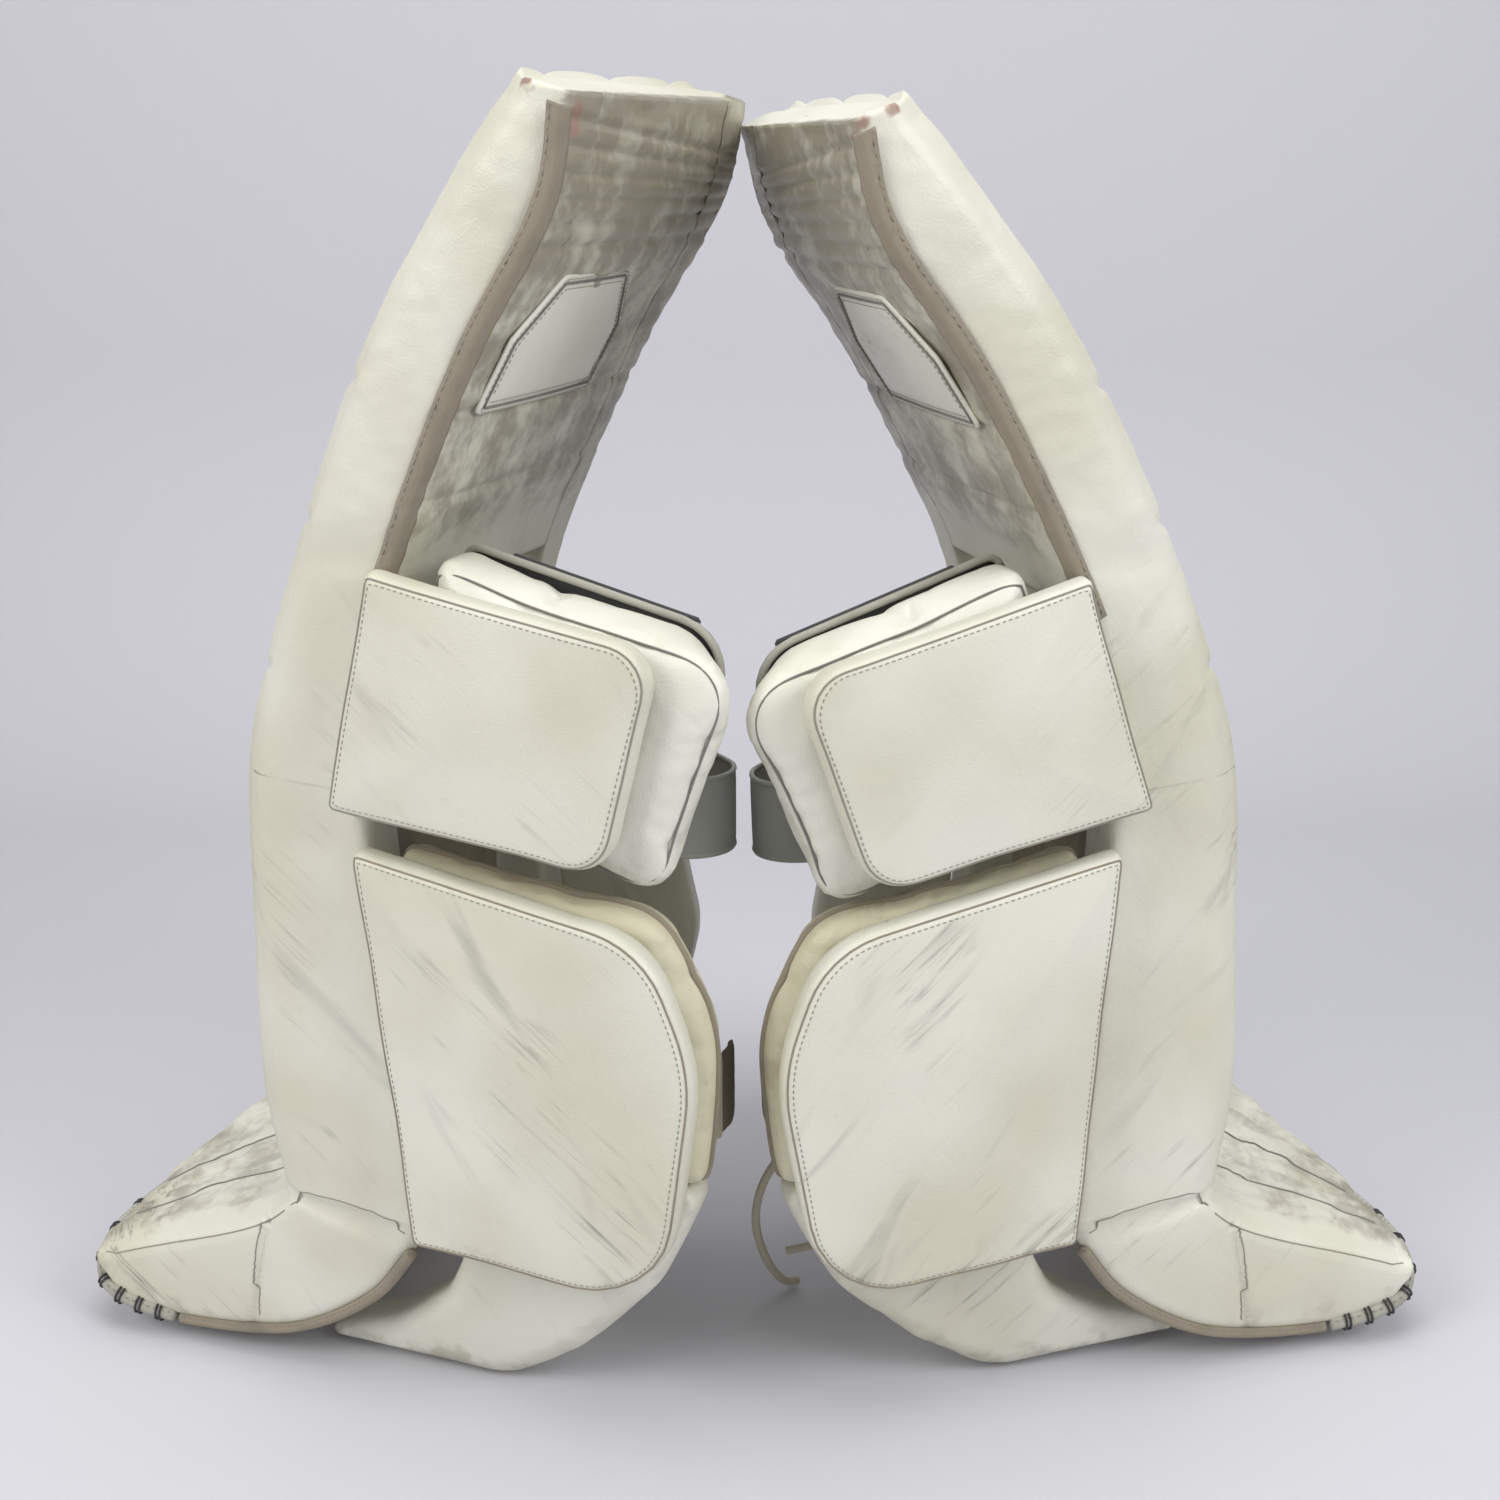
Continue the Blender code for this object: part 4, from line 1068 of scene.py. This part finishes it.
def cut_block(leg, rear_cut):
    """The block's outline, with its rear end cut back by rear_cut and by the leg's own cut."""
    corners, radii = KNEE_BLOCK
    top_front, top_rear, low_rear, low_front = (Vector(c) for c in corners)
    cut = rear_cut + STANCES[leg]["cut"]
    top_rear = top_rear + (top_front - top_rear).normalized() * cut
    low_rear = low_rear + (low_front - low_rear).normalized() * cut
    return [tuple(top_front), tuple(top_rear), tuple(low_rear), tuple(low_front)], radii


def build_block(leg):
    near, far = cut_block(leg, 0.0), cut_block(leg, 0.024)
    shape = inflated("block", slab(near, 0.0065, 0.0570, 0.010, far), 0.005, 3.5, 0.007)
    points = shape[0].copy()
    points[:, 1] = np.clip(points[:, 1], -0.0010, 0.0602)
    shape = rippled((points, shape[1]), 0.0014, (22, 22, 22), 2.0 if leg == "right" else 6.0)
    # The block's first mask holds only painted shade, from the spots above.
    piece = place(leg, "knee_block", shape, "knee_stack", CLEAN, "white_leather",
                  ["knee_block_cover", "knee_block_core"], 1, "stack",
                  {"dirt_and_shade": lambda leg, p: 0.4 * spots(p, BLOCK_SHADE_SPOTS)})
    liner = panel(far, 0.0652, 0.0606, 0.0004, 0.003)
    place(leg, "block_liner", liner, "knee_stack", DARK, "black_lining", ["knee_block_liner"], 0, "stack")
    edge = border(far, 0.0010, 0.0592, 0.0032)
    place(leg, "block_far_edge", edge, "knee_stack", EDGE, "white_leather", how="stack")
    (u0, z0), (u1, z1) = far[0][0], far[0][1]
    top = [(u0 + (u1 - u0) * k, 0.0618, z0 + (z1 - z0) * k - 0.0004) for k in np.linspace(0.16, 0.86, 60)]
    place(leg, "block_top_edge", tube(top, 0.0030, 12, 1.0, True), "knee_stack", DARK, "black_lining",
          how="stack")
    pipe = on_surface(shape, side_ring(near, 0.004, 0.0075), 0.0004)
    for _ in range(PIPING_AVERAGINGS):
        pipe[1:-1] = (pipe[:-2] + pipe[1:-1] + pipe[2:]) / 3
    place(leg, "block_piping", tube(pipe, 0.0009, 8), "knee_stack", PIPING, "white_leather", how="stack")


def build_calf(leg):
    wedge = slab(CALF_WEDGE, 0.0055, 0.0400, 0.008)
    shape = inflated("wedge", wedge, 0.005, 3.0, 0.006)
    points = shape[0].copy()
    points[:, 1] = np.clip(points[:, 1], -0.0010, 0.0440)
    quilt = 0.0020 * (groove(np.mod(points[:, 2] - 0.2, 0.062), 0.031, 0.003))
    side = np.sign(points[:, 1] - 0.022)
    points[:, 1] -= side * quilt
    shape = rippled((points, shape[1]), 0.0014, (26, 26, 26), 4.0)
    piece = place(leg, "calf_wedge", shape, "calf_wedge", CREAM, "cream_leather", ["calf_wedge"], 1, "upper",
                  {"dirt_and_shade": lambda leg, p: 0.35 * step(-p[:, 0], 0.16, 0.21)})
    tape = on_surface(shape, side_ring(CALF_WEDGE, 0.002, 0.022), 0.0002)
    place(leg, "wedge_piping", tube(tape, 0.0022, 8), "calf_wedge", TAN, "tan_binding", how="upper")

    lift = STANCES[leg]["lift"]
    corners, radii = CALF_FOOT
    outline = ([(u, z + lift) if z < 0.060 else (u, z) for u, z in corners], radii)
    shape = inflated("foot", slab(outline, 0.0045, 0.0405, 0.006, tilt=FOOT_TILT), 0.004, 2.4, 0.0035)
    points = shape[0].copy()
    points[:, 2] = np.maximum(points[:, 2], 0.0004 + lift)
    seam = groove(points[:, 0], -0.080 + 0.15 * (points[:, 2] - 0.05), 0.0020)
    points[:, 1] += 0.0016 * seam * (points[:, 1] < 0.025 + FOOT_TILT * (0.19 - points[:, 2]))
    shape = rippled((points, shape[1]), 0.0008, (20, 20, 20), 9.0)
    shape[0][:, 2] = np.maximum(shape[0][:, 2], 0.0002 + lift)
    piece = place(leg, "calf_foot", shape, "calf_wedge", WHITE, "white_leather", ["calf_foot"], 1, "upper",
                  {"dirt_and_shade": lambda leg, p: 0.5 * (1 - step(p[:, 2], 0.005, 0.05))})


def build_wings(leg):
    for name, outline in (("outer_knee_wing", OUTER_KNEE), ("outer_calf_wing", OUTER_CALF)):
        shape = soft_panel(outline, WIDTH - 0.0035, WIDTH - 0.0245, 5.0, 0.0016)
        piece = place(leg, name, shape, name, WHITE, "white_leather", [name], 0, "upper")
        rim = seam_line(shape, outline, 0.0022, WIDTH - 0.004)
        place(leg, f"{name}_piping", tube(rim, 0.0011, 8), name, PIPING, "white_leather", how="upper")
        thread = seam_round(shape, outline, 0.0090, WIDTH + 0.006, 0.0002)
        place(leg, f"{name}_thread", thread, name, THREAD, "white_leather", how="upper")


def build_straps(leg):
    knee = [(-0.070, 0.069, 0.422), (-0.120, 0.071, 0.420), (-0.160, 0.080, 0.418), (-0.177, 0.104, 0.416),
            (-0.170, 0.140, 0.412), (-0.140, 0.175, 0.408), (-0.105, 0.200, 0.406)]
    shape = band(smooth_line(knee, 90), (0, 0, 0.055), 0.0026, 14)
    place(leg, "knee_strap", shape, "shin", ELASTIC, "grey_elastic", ["knee_strap"])
    hems = [np.array(smooth_line(knee, 90)) + np.array([0, 0, s * 0.0262]) for s in (-1, 1)]
    place(leg, "knee_strap_hems", joined(*[tube(h, 0.0018, 8) for h in hems]), "shin", ELASTIC,
          "grey_elastic")
    calf = [(-0.110, 0.045, 0.230), (-0.154, 0.0455, 0.228), (-0.175, 0.058, 0.226), (-0.182, 0.080, 0.224)]
    shape = band(smooth_line(calf, 50), (0, 0, 0.063), 0.0030, 12)
    place(leg, "calf_strap", shape, "calf_wedge", CREAM, "cream_leather", ["calf_strap"])
    tab = [(-0.182, 0.084, 0.224), (-0.181, 0.099, 0.223), (-0.179, 0.110, 0.220), (-0.174, 0.119, 0.215)]
    line = smooth_line(tab, 30)
    ragged = band(line, (0, 0, 0.060), 0.0040, 14)
    points = ragged[0].copy()
    rag = folds(points, (200, 160, 220), 3.0)
    end = step(points[:, 1], 0.106, 0.119)
    points[:, 1] += 0.004 * rag * end
    points[:, 2] += 0.002 * folds(points, (60, 60, 60), 1.0)
    place(leg, "calf_strap_tab", (points, ragged[1]), "calf_tab", FELT, "tan_binding", ["calf_strap_tab"])
    boot = []
    for k in range(61):
        t = k / 60
        boot.append((0.030 - 0.055 * math.sin(math.pi * t), 0.060 + 0.155 * t, 0.165))
    shape = band(boot, (0, 0, 0.025), 0.0030, 8)
    place(leg, "boot_strap", shape, "shin", CREAM, "cream_leather", ["boot_strap"])


def build_cradles(leg):
    """The linings on the floor of the leg channel, for the knee and for the calf."""
    for name, finish, first, last, slot in (("knee_cradle", DARK, 4.30, 5.85, "black_lining"),
                                            ("calf_cradle", TAN, 6.25, 8.20, "tan_binding")):
        rings = []
        for s in np.linspace(first, last, 46):
            front, rear = knot(FACE, s), knot(REAR, s)
            along = (rear - front) / np.linalg.norm(rear - front)
            low, high = MEDIAL_WALL + 0.012, WIDTH - LATERAL_WALL - 0.012
            under, over = PLATE - 0.001, PLATE + 0.013
            corners = [(under, low), (under, high), (over, high), (over, low)]
            flat = ring_points(corners, [0.002, 0.002, 0.009, 0.009], [40, 3, 40, 3], 4)
            shown = flat[:, 0] > PLATE + 0.006
            bulge = 0.002 * np.sin(np.pi * (flat[:, 1] - low) / (high - low)) * shown
            bulge = bulge - 0.0016 * groove(np.mod(flat[:, 1], 0.034), 0.017, 0.002) * shown
            depth = flat[:, 0] + bulge
            rings.append(np.stack(
                [front[0] + along[0] * depth, flat[:, 1], front[1] + along[1] * depth], axis=1))
        piece = place(leg, name, loft(rings), "shin", finish, slot, [name])


def build_lace(name, route, clip):
    """A loose lace as a curve on its route, on the left pad's shin."""
    dense = world("left", settled("left", smooth_line(route, clip), "upper"))
    curve = bpy.data.curves.new(f"left_{name}_look", "CURVE")
    curve.dimensions = "3D"
    spline = curve.splines.new("POLY")
    spline.points.add(len(dense) - 1)
    for point, at in zip(spline.points, dense):
        point.co = (*at, 1.0)
    curve.bevel_depth = LACE_WIDTH / 2
    curve.bevel_resolution = 3
    curve.use_fill_caps = True
    curve.materials.append(LACE)
    lace = linked(f"left_{name}_look", curve)
    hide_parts(f"left_{name}")
    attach(lace, "left_shin")
    return lace


LONG_ROUTE = [(0.0641, 0.096, 0.203), (0.026, 0.097, 0.203), (-0.006, 0.100, 0.197), (-0.040, 0.106, 0.190),
              (-0.092, 0.118, 0.166), (-0.120, 0.128, 0.160), (-0.150, 0.140, 0.149), (-0.171, 0.150, 0.119),
              (-0.178, 0.157, 0.082), (-0.170, 0.163, 0.045), (-0.156, 0.169, 0.020), (-0.143, 0.176, 0.0120)]
SHORT_ROUTE = [(0.0649, 0.136, 0.145), (0.040, 0.137, 0.128), (0.010, 0.142, 0.092), (-0.040, 0.148, 0.070),
               (-0.100, 0.152, 0.058), (-0.156, 0.156, 0.052)]


# ---- floor, light and camera ----
def build_stage():
    reach, rise, depth = 6.0, 3.0, 1.10
    turns = [(0.55 * math.sin(t), 0.55 * (1 - math.cos(t))) for t in np.linspace(0, math.pi / 2, 16)]
    profile = [(-4.0, 0.0)] + [(depth + a, b) for a, b in turns] + [(depth + 0.55, rise)]
    points = [(x, y, z - 0.0005) for x in (-reach, reach) for y, z in profile]
    count = len(profile)
    faces = [(i, i + 1, count + i + 1, count + i) for i in range(count - 1)]
    mesh = bpy.data.meshes.new("backdrop")
    mesh.from_pydata(points, [], faces)
    mesh.shade_smooth()
    backdrop = linked("backdrop", mesh)
    mesh.materials.append(Shader("backdrop_paint", 0.9).paint((0.60, 0.595, 0.625)))
    for name, at, aim, size, power, tint in (
        ("left_softbox", (-1.9, -1.5, 1.9), (0, 0, 0.35), 1.4, 38, (1.0, 0.99, 0.97)),
        ("right_softbox", (1.9, -1.5, 1.9), (0, 0, 0.35), 1.4, 38, (0.98, 0.99, 1.0)),
        ("top_softbox", (0, -0.2, 2.6), (0, 0, 0.3), 1.8, 26, (1, 1, 1)),
    ):
        light = bpy.data.lights.new(name, "AREA")
        light.energy, light.size, light.color = power, size, tint
        lamp = linked(name, light)
        lamp.location = at
        lamp.rotation_euler = (Vector(aim) - Vector(at)).to_track_quat("-Z", "Y").to_euler()
    world_light = bpy.data.worlds.new("studio")
    world_light.use_nodes = True
    world_light.node_tree.nodes["Background"].inputs["Color"].default_value = (0.92, 0.93, 1.0, 1)
    world_light.node_tree.nodes["Background"].inputs["Strength"].default_value = 0.40
    bpy.context.scene.world = world_light


def build_camera():
    data = bpy.data.cameras.new("photo_view")
    data.lens, data.sensor_width = CAMERA_LENS, 36.0
    camera = linked("photo_view", data)
    camera.location = CAMERA_AT
    camera.rotation_euler = (math.radians(90 - CAMERA_DOWN), 0, 0)
    bpy.context.scene.camera = camera
    bpy.context.scene.view_settings.view_transform = "Standard"


build_stage()
build_camera()
build_lace("boot_lace", LONG_ROUTE, 56)
build_lace("short_lace", SHORT_ROUTE, 31)
for leg in ("right", "left"):
    build_covers(leg)
    build_bindings(leg)
    build_toe(leg)
    build_badge(leg)
    build_flaps(leg)
    build_block(leg)
    build_calf(leg)
    build_wings(leg)
    build_straps(leg)
    build_cradles(leg)
